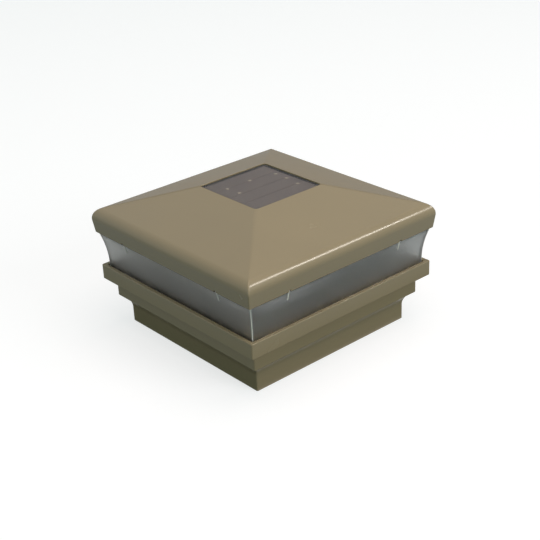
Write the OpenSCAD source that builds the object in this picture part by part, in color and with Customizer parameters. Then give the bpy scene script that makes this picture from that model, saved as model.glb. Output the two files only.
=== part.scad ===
// Solar cap light for a square deck post. A moulded collar slips over the post and holds a
// deck plate. A clear flared lens stands on the deck plate and carries a hipped roof. The
// roof holds a solar panel on top and, underneath, a screwed tray with the circuit, the
// lamps, the switch and one battery behind a door.
// Millimetres, Z up. The origin is the middle of the collar's lower rim.

/* [Post] */
// Outside width of the square post sleeve
post_w = 127; // [110:0.5:140]
// Gap between the post and the collar on each side
post_gap = 0.75; // [0.3:0.05:1.5]

/* [Collar] */
// Wall of the skirt, the cove and the step
collar_wall = 2.5; // [1.5:0.1:3.5]
// Height of the straight skirt
skirt_h = 11.2; // [6:0.1:30]
// Radius of the cove above the skirt
cove_r = 10; // [8:0.5:14]
// How far the step stands out past the skirt
step_out = 6.45; // [4:0.05:7.5]
// Height of the step's face
step_h = 13.05; // [10:0.05:25]
// How far the flange stands out past the step
flange_out = 6.5; // [5:0.1:9]
// Height of the flange's face
flange_h = 10.7; // [9:0.1:18]
// Wall of the flange's rim
flange_wall = 3; // [2:0.1:4]

/* [Deck plate] */
// Thickness of the deck plate
deck_t = 2.5; // [1.5:0.1:3.5]
// Depth of the groove that the lens stands in
groove_depth = 3; // [2:0.1:4]
// Width of the square window in the deck
window_w = 92; // [90:1:104]
// Corner radius of the window
window_r = 6; // [2:0.5:12]
// Thickness of a stop rib
rib_t = 2.5; // [1.5:0.1:4]
// Spacing of the three stop ribs on a side
rib_pitch = 40; // [25:1:45]
// How far the ribs reach in over the post's end
rib_reach = 8.25; // [5:0.25:10]
// Distance from the deck's top down to the post's end
stop_depth = 14.3; // [10:0.1:20]
// Length of a rib's leg below the post's end
leg_h = 6; // [2:0.5:10]

/* [Lens] */
// Wall of the lens
lens_wall = 2; // [1.5:0.1:2.6]
// Gap between the lens's foot and the flange's rim
foot_gap = 0.8; // [0.4:0.1:1.2]
// Height of lens that shows between flange and roof
lens_h = 24.6; // [18:0.1:40]
// Height of the foot's straight part above the flange
foot_straight = 1.75; // [0:0.05:5]
// Radius of the lens's outward flare
flare_r = 71.6; // [50:0.2:300]
// Height of the inner rim that stands up inside the roof
spigot_h = 5.1; // [4:0.1:7]
// How far the clamped ledge reaches in from the inner rim
ledge_reach = 2.5; // [1.5:0.1:4]
// Thickness of the clamped ledge and of the shoulder
ledge_t = 1.5; // [1:0.1:2]
// Spacing of the two clip ribs on a side
clip_pitch = 97.4; // [60:0.2:120]
// Width of a clip rib
clip_w = 1.2; // [1:0.1:3]
// Height of a clip rib below the roof's lip
clip_h = 6.4; // [4:0.1:12]
// How far a clip rib stands out of the lens at its lower end
clip_out = 0.8; // [0.6:0.1:1.5]
// How far a clip rib's tip reaches up into its notch
clip_tip = 0.9; // [0.8:0.1:2]

/* [Roof] */
// Wall of the roof
roof_wall = 2.5; // [1.8:0.1:3]
// How far the roof's lip stands out past the lens
lip_out = 1.25; // [0.5:0.05:4]
// Height from the lip to the middle of the rolled eave
eave_h = 9.9; // [6:0.1:16]
// Outer radius of the rolled eave
roll_r = 8; // [5:0.2:12]
// Outward lean of the eave's side
side_draft = 7.2; // [0:0.1:10]
// Pitch of the four slopes
pitch = 17.2; // [14:0.1:25]
// Distance of a tray boss from the middle lines
boss_at = 52; // [49:0.5:56]
// Diameter of a tray boss
boss_d = 8; // [7:0.5:10]

/* [Solar panel] */
// Width of the square opening in the roof
panel_w = 57.2; // [50:0.1:62]
// Corner radius of the opening
panel_r = 2.5; // [0.5:0.1:5]
// Depth of the clear cover below the opening's edge
cover_depth = 0.6; // [0.5:0.1:2]
// Thickness of the clear cover
cover_t = 0.9; // [0.8:0.1:2]
// Thickness of the seal under the cover
seal_t = 0.8; // [0.6:0.1:1.5]
// Width of the seal's frame
seal_w = 1.2; // [1:0.1:3]
// Thickness of the panel's board
panel_board_t = 1.6; // [1:0.1:2]
// Thickness of the solar cells
cell_t = 0.3; // [0.2:0.05:0.5]
// Number of solar cells side by side
cell_count = 4; // [2:1:6]
// Gap between two solar cells
cell_gap = 0.5; // [0.4:0.1:1.5]
// Thickness of the pocket's floor
pocket_floor = 2; // [1.2:0.1:3]
// Diameter of the hole for the panel's wires
wire_hole_d = 7; // [6:0.5:10]

/* [Tray] */
// Thickness of the tray
tray_t = 2; // [1.5:0.1:2.5]
// Wall of the battery bay
bay_wall = 1.5; // [1:0.1:2]
// Distance of the battery from the middle line
bay_at = 24; // [22:0.5:26]
// Height of the circuit board above the tray
standoff_h = 3.5; // [3.5:0.1:6]
// Diameter of a standoff
standoff_d = 5; // [4:0.25:6]

/* [Battery] */
// Diameter of the battery over its sleeve
cell_d = 14.5; // [14:0.1:15]
// Length of the battery over its tip
cell_len = 50.5; // [48:0.1:51]
// Diameter of the battery's tip
tip_d = 5.5; // [4:0.1:6]
// Height of the battery's tip
tip_h = 1.4; // [1:0.1:2]
// Wall of the printed sleeve
sleeve_t = 0.2; // [0.1:0.05:0.4]
// Length of the contact spring
spring_len = 5.5; // [4:0.1:7]
// Diameter of the contact spring over its wire
spring_d = 8; // [6:0.5:10]
// Wire of the contact spring
spring_wire = 0.8; // [0.6:0.05:1]
// Turns of the contact spring
spring_turns = 3.5; // [2:0.5:4]
// Thickness of a contact plate
plate_t = 0.5; // [0.3:0.05:0.8]

/* [Battery door] */
// Thickness of the door
door_t = 2; // [1.5:0.1:2.5]
// Rim of the door past the battery bay
door_rim = 3.4; // [3.2:0.1:5]
// Length of the ear at each end that holds a screw
ear_len = 12; // [11:0.5:13]
// Height of the door's plug inside the bay
plug_h = 1.8; // [1:0.1:2]
// Width of the door's seal
door_seal_w = 1.6; // [1:0.1:2]
// Thickness of the door's seal
door_seal_t = 0.9; // [0.6:0.1:1.2]

/* [Circuit] */
// Length of the circuit board
board_l = 64; // [56:1:72]
// Width of the circuit board
board_w = 36; // [34:1:40]
// Thickness of the circuit board
board_t = 1.6; // [1:0.1:2]
// Distance of the circuit board's middle from the middle line
board_at = 22; // [18:1:26]
// Side of the square controller chip
chip_w = 8; // [5:0.5:10]
// Thickness of the controller chip
chip_t = 1.6; // [1:0.1:3]
// Diameter of the choke coil
choke_d = 8; // [5:0.5:9]
// Height of the choke coil
choke_h = 7; // [4:0.5:9]
// Diameter of a capacitor
cap_d = 6.3; // [4:0.1:7]
// Height of a capacitor
cap_h = 9; // [5:0.5:11]

/* [Switch] */
// Travel of the switch's knob
switch_travel = 2; // [1:0.1:3]
// Width of the knob along its travel
knob_w = 2.6; // [1.5:0.1:3.5]
// Depth of the knob across its travel
knob_depth = 2.4; // [1.5:0.1:3]
// How far the knob stands out below the tray
knob_out = 2; // [1:0.1:3]

/* [Lamps] */
// Length of a lamp board
strip_l = 70; // [60:1:74]
// Width of a lamp board
strip_w = 9; // [8:0.5:10]
// Thickness of a lamp board
strip_t = 1.2; // [0.8:0.1:1.6]
// Distance of a lamp board's middle from the middle line
strip_at = 62; // [60:0.5:64]
// Side of a square lamp
led_w = 5; // [3:0.5:6]
// Height of a lamp
led_h = 1.6; // [1:0.1:2]
// Spacing of the two lamps on a board
led_pitch = 40; // [20:1:46]
// Spacing of the two pegs that hold a board
peg_pitch = 58; // [52:1:60]
// Diameter of a peg
peg_d = 2; // [1.5:0.1:3]

/* [Screws] */
// Diameter of the tray's and the door's screws
screw_d = 3; // [2.5:0.1:3.5]
// Diameter of their heads
head_d = 5.6; // [5:0.1:6.5]
// Height of their heads
head_h = 1.8; // [1.2:0.1:2.2]
// Length of a tray screw
tray_screw_len = 10; // [8:0.5:14]
// Length of a door screw
door_screw_len = 9; // [7:0.5:12]
// Diameter of the circuit board's screws
small_d = 2; // [1.6:0.1:2.4]
// Diameter of their heads
small_head_d = 4; // [3:0.1:4.6]
// Height of their heads
small_head_h = 1.3; // [1:0.1:1.6]
// Length of a circuit board screw
small_len = 4.4; // [4:0.1:5]

/* [Wires] */
// Diameter of a wire over its insulation
wire_d = 1; // [0.8:0.1:1.2]

/* [Clearances] */
// Gap between pieces that drop or slide together
fit_gap = 0.3; // [0.2:0.05:0.4]
// Gap on the inner side of the lens's foot and outside its inner rim
groove_gap = 0.5; // [0.3:0.05:0.8]
// Gap between the battery's lower side and the tray's top
battery_lift = 0.95; // [0.8:0.05:1.5]
// Gap round a screw in its hole, on the radius
screw_gap = 0.3; // [0.2:0.05:0.4]
// Gap round a thread in its boss, on the radius
thread_gap = 0.05; // [0.02:0.01:0.1]
// Gap between the door and the tray
door_gap = 0.1; // [0.05:0.05:0.2]

/* [Hidden] */

$fn = 48;
arc_steps = 14;      // straight strips in a rounded stretch of an outline
cut = 1;             // how far a cutting shape runs past what it cuts
weld = 0.5;          // how far a feature runs into what it grows from

// Colours
TAUPE = [0.61, 0.55, 0.46];
CLEAR = [0.82, 0.84, 0.84, 0.4];
VIOLET = [0.30, 0.26, 0.30];
GREEN = [0.10, 0.32, 0.18];
STEEL = [0.72, 0.72, 0.70];
BLACK = [0.09, 0.09, 0.09];
PALE = [0.88, 0.87, 0.83];

// Half widths and heights of the collar
socket_half = post_w / 2 + post_gap;
skirt_half = socket_half + collar_wall;
step_half = skirt_half + step_out;
flange_half = step_half + flange_out;
rim_half = flange_half - flange_wall;
cove_at = skirt_half + cove_r;
cove_turn = acos((cove_r - step_out) / cove_r);
cove_turn_in = acos((cove_r - step_out + collar_wall) / (cove_r + collar_wall));
flange_z = skirt_h + cove_r * sin(cove_turn) + step_h;
deck_z = flange_z + flange_h;

// Deck plate
seat_z = flange_z + collar_wall;
groove_z = deck_z - groove_depth;
groove_half = rim_half - foot_gap - lens_wall - groove_gap;
stop_z = deck_z - stop_depth;
rib_half = step_half - collar_wall - fit_gap;
deck_ring_half = rim_half - fit_gap;

// Lens
foot_half = rim_half - foot_gap;
flare_z = deck_z + foot_straight;
lip_z = deck_z + lens_h;
flare_at = foot_half + flare_r;
lens_top_half = flare_at - sqrt(flare_r * flare_r - pow(lip_z - flare_z, 2));
lip_half = lens_top_half + lip_out;
spigot_half = lip_half - roof_wall - groove_gap;
spigot_top = lip_z + spigot_h;
tray_top = spigot_top - ledge_t;
tray_z = tray_top - tray_t;
shoulder_z = lip_z - lens_wall;

// Roof: the eave's roll is tangent to the leaning side and to the slope
roll_z = lip_z + eave_h;
roll_at = lip_half + (eave_h - roll_r * sin(side_draft)) * tan(side_draft) - roll_r * cos(side_draft);
slope_foot = [roll_at + roll_r * sin(pitch), roll_z + roll_r * cos(pitch)];
roof_top = slope_z(panel_w / 2);

// Stack of the solar panel, from the top down
cover_top = roof_top - cover_depth;
cover_z = cover_top - cover_t;
panel_top = cover_z - seal_t;
panel_z = panel_top - panel_board_t;
pocket_z = panel_z - pocket_floor;
panel_fit_w = panel_w - 2 * fit_gap;
cells_w = panel_fit_w - 2 * (seal_w + fit_gap);
cell_w = (cells_w - (cell_count - 1) * cell_gap) / cell_count;
joint_d = 2.6;
joint_t = 0.15;
// Places of the solder joints, as shares of the panel's half width
joint_at = [[0.78, 0.35], [0.73, -0.48], [0.09, 0.48], [-0.57, 0.08], [0.78, -0.04],
    [-0.60, 0.47]];

// Battery, its bay and its door, along X at y = -bay_at
bay_l = cell_len + spring_len + 2 * plate_t + 2 * fit_gap;
bay_w = cell_d + 2 * fit_gap + 2 * door_gap;
cell_z = tray_top + battery_lift + cell_d / 2;
bay_top = cell_z + cell_d / 2 + fit_gap;
cell_x = -bay_l / 2 + plate_t + spring_len + fit_gap;
door_z = tray_z - door_gap - door_t;
door_top = tray_z - door_gap;
door_l = bay_l + 2 * (bay_wall + ear_len);
door_w = bay_w + 2 * (bay_wall + door_rim);
door_screw_x = bay_l / 2 + bay_wall + ear_len / 2 + 1;
door_boss_d = 7;
seal_l_mid = bay_l + 2 * (bay_wall + 0.7);
seal_w_mid = bay_w + 2 * (bay_wall + 0.7);
saddle_x = 14;
saddle_t = 2;
tab_x = bay_l / 2 - plate_t / 2;
tab_w = 5;
tab_h = 2.5;

// Circuit board
board_z = tray_top + standoff_h;
board_top = board_z + board_t;
board_hole = [board_l / 2 - 4, board_w / 2 - 4];
wire_hole_y = board_at - 6;

// Switch
switch_y = board_at + 12;
slider_w = knob_w + 1.6;
slider_d = knob_depth + 0.8;
slider_t = 0.8;
case_wall = 1.2;
case_z = tray_top + fit_gap;
case_floor = 0.9;
chamber_l = slider_w + switch_travel + 2 * fit_gap;
chamber_w = slider_d + 2 * fit_gap;

// Lamps
strip_z = tray_z - strip_t;
led_z = strip_z - led_h;
peg_head = 0.7;
feed_reach = 4;

// Routes of the wires, each point from the piece that it passes
under_tray = tray_z - wire_d / 2 - door_gap;
tab_mid = bay_top + bay_wall + tab_h / 2;
land = [board_l / 2 - 10, board_at - 10, board_top];
panel_route = [[1, wire_hole_y, panel_z], [1, wire_hole_y, pocket_z - 1.5],
    [2, wire_hole_y + 3, pocket_z - 6], [3, wire_hole_y + 9, board_top + 7],
    [3, wire_hole_y + 12, board_top + 3], [3, wire_hole_y + 12, board_top]];
battery_route = [[tab_x, tab_w / 2 - bay_at, tab_mid], [tab_x, 7 - bay_at, tab_mid],
    [tab_x - 1.5, 14 - bay_at, tab_mid - 1], [land[0] + 3, land[1] - 15, board_top + 9.5],
    [land[0] + 1, land[1] - 7, board_top + 5.5], [land[0], land[1] - 1.5, board_top + 3.4],
    [land[0], land[1], board_top + 1.9], land];
feed_route = [[-feed_reach, 0, board_z + board_t / 2], [-2.5, 0, board_z + board_t / 2],
    [-0.8, 0, board_z - 1], [0, 0, tray_top], [0.6, 0, tray_z + 0.5], [2.2, 0, under_tray],
    [5, 0, under_tray], [strip_at - strip_w / 2 - board_l / 2 - feed_reach, 0, under_tray]];
function jumper_half(d) = [[strip_at + d, strip_l / 2, under_tray],
    [strip_at + d, strip_l / 2 + 3, under_tray], [strip_at - 3 + d, strip_l / 2 + 6.5, under_tray],
    [strip_at - 11 + d, strip_l / 2 + 9 + d / 2, under_tray]];

// Height of the roof's outer slope at a half width
function slope_z(w) = slope_foot[1] + (slope_foot[0] - w) * tan(pitch);
// Points of an arc round a centre, from one angle to another
function arc(c, r, a0, a1) = [for (i = [0:arc_steps])
    c + r * [cos(a0 + (a1 - a0) * i / arc_steps), sin(a0 + (a1 - a0) * i / arc_steps)]];
// Outline of a rectangle with rounded corners
function rounded(w, d, r) = [for (k = [0:3], p = arc(
    [(k == 0 || k == 3 ? 1 : -1) * (w / 2 - r), (k < 2 ? 1 : -1) * (d / 2 - r)],
    r, 90 * k, 90 * k + 90)) p];
// Outer outline of the lens wall between two heights, grown by a wall
function flare(z0, z1, wall) = [for (i = [0:arc_steps]) let (z = z0 + (z1 - z0) * i / arc_steps)
    [flare_at - sqrt(pow(flare_r + wall, 2) - pow(z - flare_z, 2)), z]];
// Outline of the roof's side, roll and slope, moved in by a wall
function roof_line(wall, bottom, top_w) = concat(
    [[lip_half - wall / cos(side_draft) - (lip_z - bottom) * tan(side_draft), bottom]],
    arc([roll_at, roll_z], roll_r - wall, -side_draft, 90 - pitch),
    [[top_w, slope_z(top_w) - wall / cos(pitch)]]);
function unit(v) = v / norm(v);

// Square solid whose half width changes with height as the outline says
module square_sweep(p) {
    outline = concat(p, [for (i = [len(p) - 1:-1:0]) [-p[i][0], p[i][1]]]);
    reach = 4 * flange_half;
    intersection() {
        rotate([90, 0, 0])
            linear_extrude(reach, center = true)
                polygon(outline);
        rotate([90, 0, 90])
            linear_extrude(reach, center = true)
                polygon(outline);
    }
}

// Flat plate with rounded corners
module plate(w, d, r, z0, z1) {
    translate([0, 0, z0])
        linear_extrude(z1 - z0)
            polygon(rounded(w, d, r));
}

// Block centred on X and Y between two heights
module block(w, d, z0, z1) {
    translate([-w / 2, -d / 2, z0])
        cube([w, d, z1 - z0]);
}

// Upright round bar between two heights
module rod(d, z0, z1) {
    translate([0, 0, z0])
        cylinder(d = d, h = z1 - z0);
}

module four_sides() {
    for (a = [0:90:270])
        rotate([0, 0, a])
            children();
}

module four_corners(x, y) {
    for (sx = [-1, 1], sy = [-1, 1])
        translate([sx * x, sy * y, 0])
            children();
}

// Round tube of eight sides along a path; side is a direction that the path never takes
module tube(path, d, side) {
    n = 8;
    last = len(path) - 1;
    function ahead(k) = unit(path[min(k + 1, last)] - path[max(k - 1, 0)]);
    function across(k) = unit(cross(ahead(k), side));
    points = [for (k = [0:last], i = [0:n - 1])
        path[k] + d / 2 * (cos(360 * i / n) * across(k) + sin(360 * i / n) * cross(ahead(k), across(k)))];
    walls = [for (k = [0:last - 1], i = [0:n - 1])
        [n * k + i, n * (k + 1) + i, n * (k + 1) + (i + 1) % n, n * k + (i + 1) % n]];
    caps = [[for (i = [0:n - 1]) i], [for (i = [n - 1:-1:0]) n * last + i]];
    polyhedron(points, concat(walls, caps));
}

// Stepped moulded collar: skirt, cove, step and flange, open at the top and bottom
module collar() {
    color(TAUPE)
        difference() {
            square_sweep(concat(
                [[skirt_half, 0]],
                arc([cove_at, skirt_h], cove_r, 180, 180 - cove_turn),
                [[step_half, flange_z], [flange_half, flange_z], [flange_half, deck_z]]));
            square_sweep(concat(
                [[socket_half, -cut]],
                arc([cove_at, skirt_h], cove_r + collar_wall, 180, 180 - cove_turn_in),
                [[step_half - collar_wall, seat_z], [rim_half, seat_z], [rim_half, deck_z + cut]]));
        }
}

// Plate inside the flange: it carries the lens in its groove and stops the post on its ribs
module deck_plate() {
    color(TAUPE)
        union() {
            difference() {
                square_sweep([[deck_ring_half, seat_z], [deck_ring_half, groove_z],
                    [groove_half, groove_z], [groove_half, deck_z]]);
                square_sweep([[deck_ring_half - deck_t, seat_z - cut],
                    [deck_ring_half - deck_t, groove_z - deck_t], [rib_half, groove_z - deck_t],
                    [rib_half, deck_z - deck_t]]);
                plate(window_w, window_w, window_r, deck_z - deck_t - cut, deck_z + cut);
            }
            four_sides()
                for (k = [-1:1])
                    translate([0, rib_pitch * k + rib_t / 2, 0])
                        rotate([90, 0, 0])
                            linear_extrude(rib_t)
                                stop_rib();
        }
}

// Side view of a stop rib, with a leg that guides the post
module stop_rib() {
    polygon([[socket_half - rib_reach, stop_z], [socket_half, stop_z], [socket_half, stop_z - leg_h],
        [rib_half, stop_z - leg_h], [rib_half, groove_z - deck_t], [rib_half + weld, groove_z - deck_t],
        [rib_half + weld, deck_z - deck_t + weld], [socket_half - rib_reach, deck_z - deck_t + weld]]);
}

// Clear flared lens with a foot, a clamped inner rim and eight clip ribs
module lens() {
    color(CLEAR)
        union() {
            difference() {
                square_sweep(concat(
                    [[foot_half, groove_z]],
                    flare(flare_z, lip_z, 0),
                    [[spigot_half, lip_z], [spigot_half, spigot_top]]));
                square_sweep(concat(
                    [[foot_half - lens_wall, groove_z - cut]],
                    flare(flare_z, shoulder_z, lens_wall),
                    [[spigot_half - lens_wall, shoulder_z], [spigot_half - lens_wall, tray_top],
                    [spigot_half - lens_wall - ledge_reach, tray_top],
                    [spigot_half - lens_wall - ledge_reach, spigot_top + cut]]));
            }
            four_sides()
                for (s = [-1, 1])
                    translate([0, s * clip_pitch / 2 + clip_w / 2, 0])
                        rotate([90, 0, 0])
                            linear_extrude(clip_w)
                                clip_rib();
        }
}

// Side view of a clip rib: it leans with the lens and hooks into a notch in the roof's lip
module clip_rib() {
    low_z = lip_z - clip_h;
    low_half = flare_at - sqrt(flare_r * flare_r - pow(low_z - flare_z, 2));
    polygon([[low_half - weld, low_z], [low_half + clip_out, low_z],
        [lens_top_half + clip_out / 2, lip_z - fit_gap], [lens_top_half + clip_out / 2, lip_z + clip_tip],
        [spigot_half - weld, lip_z + clip_tip], [spigot_half - weld, lip_z - fit_gap]]);
}

// Hipped roof shell with a pocket for the panel, four tray bosses and notches for the clips
module roof() {
    boss_top = slope_z(boss_at + boss_d / 2) - 0.8;
    color(TAUPE)
        difference() {
            union() {
                difference() {
                    square_sweep(roof_line(0, lip_z, panel_w / 2));
                    difference() {
                        square_sweep(roof_line(roof_wall, lip_z - cut, panel_w / 4));
                        block(panel_w + 2 * roof_wall, panel_w + 2 * roof_wall, pocket_z, roof_top + 10 * cut);
                    }
                }
                four_corners(boss_at, boss_at)
                    rod(boss_d, tray_top, boss_top);
            }
            plate(panel_w, panel_w, panel_r, panel_z, roof_top + cut);
            translate([0, wire_hole_y, 0])
                rod(wire_hole_d, pocket_z - cut, panel_z + cut);
            four_corners(boss_at, boss_at)
                rod(screw_d + 2 * thread_gap, tray_top - cut, tray_top + tray_screw_len);
            four_sides()
                for (s = [-1, 1])
                    translate([lip_half, s * clip_pitch / 2, 0])
                        block(2 * (roof_wall + cut), clip_w + 2 * fit_gap, lip_z - cut, lip_z + clip_tip + fit_gap);
        }
}

// Clear plastic sheet over the solar cells
module panel_cover() {
    color(CLEAR)
        plate(panel_fit_w, panel_fit_w, panel_r - fit_gap, cover_z, cover_top);
}

// Rubber frame between the board and the cover
module panel_seal() {
    color(BLACK)
        difference() {
            plate(panel_fit_w, panel_fit_w, panel_r - fit_gap, panel_top, cover_z);
            block(panel_fit_w - 2 * seal_w, panel_fit_w - 2 * seal_w, panel_top - cut, cover_z + cut);
        }
}

// Board that carries the solar cells
module panel_board() {
    color(VIOLET)
        plate(panel_fit_w, panel_fit_w, panel_r - fit_gap, panel_z, panel_top);
}

// Solar cells side by side on the board
module solar_cells() {
    color(VIOLET)
        for (k = [0:cell_count - 1])
            translate([0, -cells_w / 2 + cell_w / 2 + k * (cell_w + cell_gap), 0])
                block(cells_w, cell_w, panel_top, panel_top + cell_t);
}

// Small solder joints on the cells
module cell_joints() {
    color(STEEL)
        for (p = joint_at)
            translate([p[0] * panel_w / 2, p[1] * panel_w / 2, 0])
                rod(joint_d, panel_top + cell_t, panel_top + cell_t + joint_t);
}

// Tray under the roof: battery bay, standoffs, door bosses, switch slot and lamp pegs
module tray() {
    color(PALE)
        difference() {
            union() {
                tray_body();
                four_sides()
                    lamp_pegs();
            }
            translate([0, -bay_at, 0])
                block(bay_l, bay_w, tray_z - cut, bay_top);
            four_corners(boss_at, boss_at)
                rod(screw_d + 2 * screw_gap, tray_z - cut, tray_top + cut);
            for (s = [-1, 1]) {
                translate([s * door_screw_x, -bay_at, 0])
                    rod(screw_d + 2 * screw_gap, tray_z - cut, tray_z + door_screw_len + cut);
                translate([s * tab_x, -bay_at, 0])
                    block(plate_t + 2 * fit_gap, tab_w + 2 * fit_gap, bay_top - cut, bay_top + bay_wall + cut);
            }
            translate([0, board_at, 0])
                four_corners(board_hole[0], board_hole[1])
                    rod(small_d + 2 * thread_gap, tray_top + fit_gap, board_z + cut);
            translate([0, switch_y, 0])
                block(knob_w + switch_travel + 4 * fit_gap, knob_depth + 2 * fit_gap, tray_z - cut, tray_top + cut);
            translate([board_l / 2 + feed_reach, board_at, 0])
                block(6 * wire_d, 6 * wire_d, tray_z - cut, tray_top + cut);
        }
}

module tray_body() {
    half = spigot_half - lens_wall - fit_gap;
    block(2 * half, 2 * half, tray_z, tray_top);
    translate([0, -bay_at, 0])
        block(bay_l + 2 * bay_wall, bay_w + 2 * bay_wall, tray_z, bay_top + bay_wall);
    for (s = [-1, 1])
        translate([s * door_screw_x, -bay_at, 0])
            rod(door_boss_d, tray_top - weld, tray_z + door_screw_len + 2 * cut);
    translate([0, board_at, 0])
        four_corners(board_hole[0], board_hole[1])
            rod(standoff_d, tray_top - weld, board_z);
}

// Two pegs with melted heads that hold one lamp board
module lamp_pegs() {
    for (s = [-1, 1])
        translate([strip_at, s * peg_pitch / 2, 0]) {
            rod(peg_d, strip_z - peg_head, tray_z + weld);
            rod(2 * peg_d, strip_z - peg_head, strip_z);
        }
}

module screw(d, head, height, len, z) {
    rod(d, z, z + len);
    rod(head, z - height, z);
}

// Four screws that hold the tray to the roof and clamp the lens between them
module tray_screws() {
    color(STEEL)
        four_corners(boss_at, boss_at)
            screw(screw_d, head_d, head_h, tray_screw_len, tray_z);
}

// Circuit board with its four screw holes
module main_board() {
    color(GREEN)
        translate([0, board_at, 0])
            difference() {
                plate(board_l, board_w, 2, board_z, board_top);
                four_corners(board_hole[0], board_hole[1])
                    rod(small_d + 2 * screw_gap, board_z - cut, board_top + cut);
            }
}

module board_screws() {
    color(STEEL)
        translate([0, board_at, 0])
            four_corners(board_hole[0], board_hole[1])
                mirror([0, 0, 1])
                    screw(small_d, small_head_d, small_head_h, small_len, -board_top);
}

// Charge controller with four legs on two sides
module controller_chip() {
    leg_w = 0.6;
    leg_h = 0.4;
    color(BLACK)
        translate([0, board_at - 4, 0]) {
            block(chip_w, chip_w, board_top + leg_h, board_top + leg_h + chip_t);
            for (s = [-1, 1], k = [-1.5:1.5])
                translate([k * chip_w / 4.5, s * (chip_w / 2 + leg_w), 0])
                    block(leg_w, 2 * leg_w + weld, board_top, board_top + leg_h + leg_w);
        }
}

// Wound choke with its waist and two end discs
module choke_coil() {
    color(BLACK)
        translate([-board_l / 4, board_at + 4, 0]) {
            rod(choke_d, board_top, board_top + choke_h / 6);
            rod(0.82 * choke_d, board_top, board_top + choke_h);
            rod(choke_d, board_top + 5 * choke_h / 6, board_top + choke_h);
        }
}

module capacitors() {
    color("slategray")
        for (y = [-6, 4])
            translate([board_l / 3.2, board_at + y, board_top])
                rotate_extrude()
                    polygon([[0, 0], [cap_d / 2, 0], [cap_d / 2, 1], [cap_d / 2 - 0.3, 1.3], [cap_d / 2 - 0.3, 1.7],
                        [cap_d / 2, 2], [cap_d / 2, cap_h - 0.4], [cap_d / 2 - 0.4, cap_h], [0, cap_h]]);
}

// Case of the slide switch under the circuit board
module switch_case() {
    color(STEEL)
        translate([0, switch_y, 0])
            difference() {
                block(chamber_l + 2 * case_wall, chamber_w + 2 * case_wall, case_z, board_z);
                block(chamber_l, chamber_w, case_z + case_floor, case_z + case_floor + slider_t + 2 * fit_gap);
                block(knob_w + switch_travel + 2 * fit_gap, knob_depth + 2 * fit_gap, case_z - cut, case_z + case_floor + cut);
            }
}

// Knob of the switch, at the off end of its travel
module switch_knob() {
    slider_z = case_z + case_floor + fit_gap;
    color(BLACK)
        translate([-switch_travel / 2, switch_y, 0]) {
            block(slider_w, slider_d, slider_z, slider_z + slider_t);
            block(knob_w, knob_depth, tray_z - knob_out, slider_z + weld);
        }
}

// Four boards under the tray, one along each side
module lamp_boards() {
    color(PALE)
        four_sides()
            difference() {
                translate([strip_at, 0, 0])
                    block(strip_w, strip_l, strip_z, tray_z);
                for (s = [-1, 1])
                    translate([strip_at, s * peg_pitch / 2, 0])
                        rod(peg_d + 2 * thread_gap, strip_z - cut, tray_z + cut);
            }
}

// Square lamps facing down, two on each board
module lamps() {
    color([0.95, 0.85, 0.45])
        four_sides()
            for (s = [-1, 1])
                translate([strip_at, s * led_pitch / 2, 0])
                    block(led_w, led_w, led_z, strip_z);
}

// Sprung contact: a plate with a solder tab and a wound wire that presses on the battery
module spring_contact() {
    turn_r = (spring_d - spring_wire) / 2;
    rings = 14;
    x0 = -bay_l / 2 + plate_t;
    pitch_x = (spring_len - spring_wire) / spring_turns;
    color(STEEL)
        union() {
            contact_plate(-1);
            translate([x0 + spring_wire / 2 - 0.1, -bay_at, cell_z])
                tube([for (k = [0:rings * spring_turns]) let (a = 360 * k / rings)
                    [pitch_x * k / rings, turn_r * cos(a), turn_r * sin(a)]], spring_wire, [1, 0, 0]);
        }
}

// Flat contact for the battery's tip
module plate_contact() {
    color(STEEL)
        contact_plate(1);
}

module contact_plate(s) {
    translate([s * tab_x, -bay_at, 0]) {
        block(plate_t, bay_w - 2 * fit_gap, tray_top, bay_top - fit_gap);
        block(plate_t, tab_w, bay_top - fit_gap - weld, bay_top + bay_wall + tab_h);
    }
}

// Steel can of the rechargeable battery with its tip
module battery_cell() {
    color(STEEL)
        translate([cell_x, -bay_at, cell_z])
            rotate([0, 90, 0])
                rotate_extrude()
                    polygon([[0, 0], [cell_d / 2 - 1, 0], [cell_d / 2 - sleeve_t - thread_gap, 0.6],
                        [cell_d / 2 - sleeve_t - thread_gap, cell_len - tip_h - 0.6], [cell_d / 2 - 1, cell_len - tip_h],
                        [tip_d / 2, cell_len - tip_h], [tip_d / 2, cell_len], [0, cell_len]]);
}

// Printed sleeve shrunk round the battery
module battery_sleeve() {
    color([0.20, 0.45, 0.30])
        translate([cell_x, -bay_at, cell_z])
            rotate([0, 90, 0])
                difference() {
                    rod(cell_d, 0.8, cell_len - tip_h - 0.8);
                    rod(cell_d - 2 * sleeve_t, -cut, cell_len);
                }
}

// Door under the battery: rounded plate, plug, two saddles and a groove for the seal
module battery_door() {
    color(PALE)
        translate([0, -bay_at, 0])
            difference() {
                union() {
                    plate(door_l, door_w, 4, door_z, door_top);
                    block(bay_l - 2 * fit_gap, bay_w - 2 * fit_gap, door_top - weld, door_top + plug_h);
                    for (s = [-1, 1])
                        translate([s * saddle_x, 0, 0])
                            block(saddle_t, 0.8 * cell_d, door_top, cell_z - cell_d / 4);
                }
                translate([-bay_l / 2, 0, cell_z])
                    rotate([0, 90, 0])
                        cylinder(d = cell_d + 2 * fit_gap, h = bay_l);
                difference() {
                    block(seal_l_mid + door_seal_w + 0.2, seal_w_mid + door_seal_w + 0.2, tray_z - door_seal_t, tray_z);
                    block(seal_l_mid - door_seal_w - 0.2, seal_w_mid - door_seal_w - 0.2, door_z, tray_top);
                }
                for (s = [-1, 1])
                    translate([s * door_screw_x, 0, 0])
                        rod(screw_d + 2 * thread_gap, door_z - cut, door_top + cut);
            }
}

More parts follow.
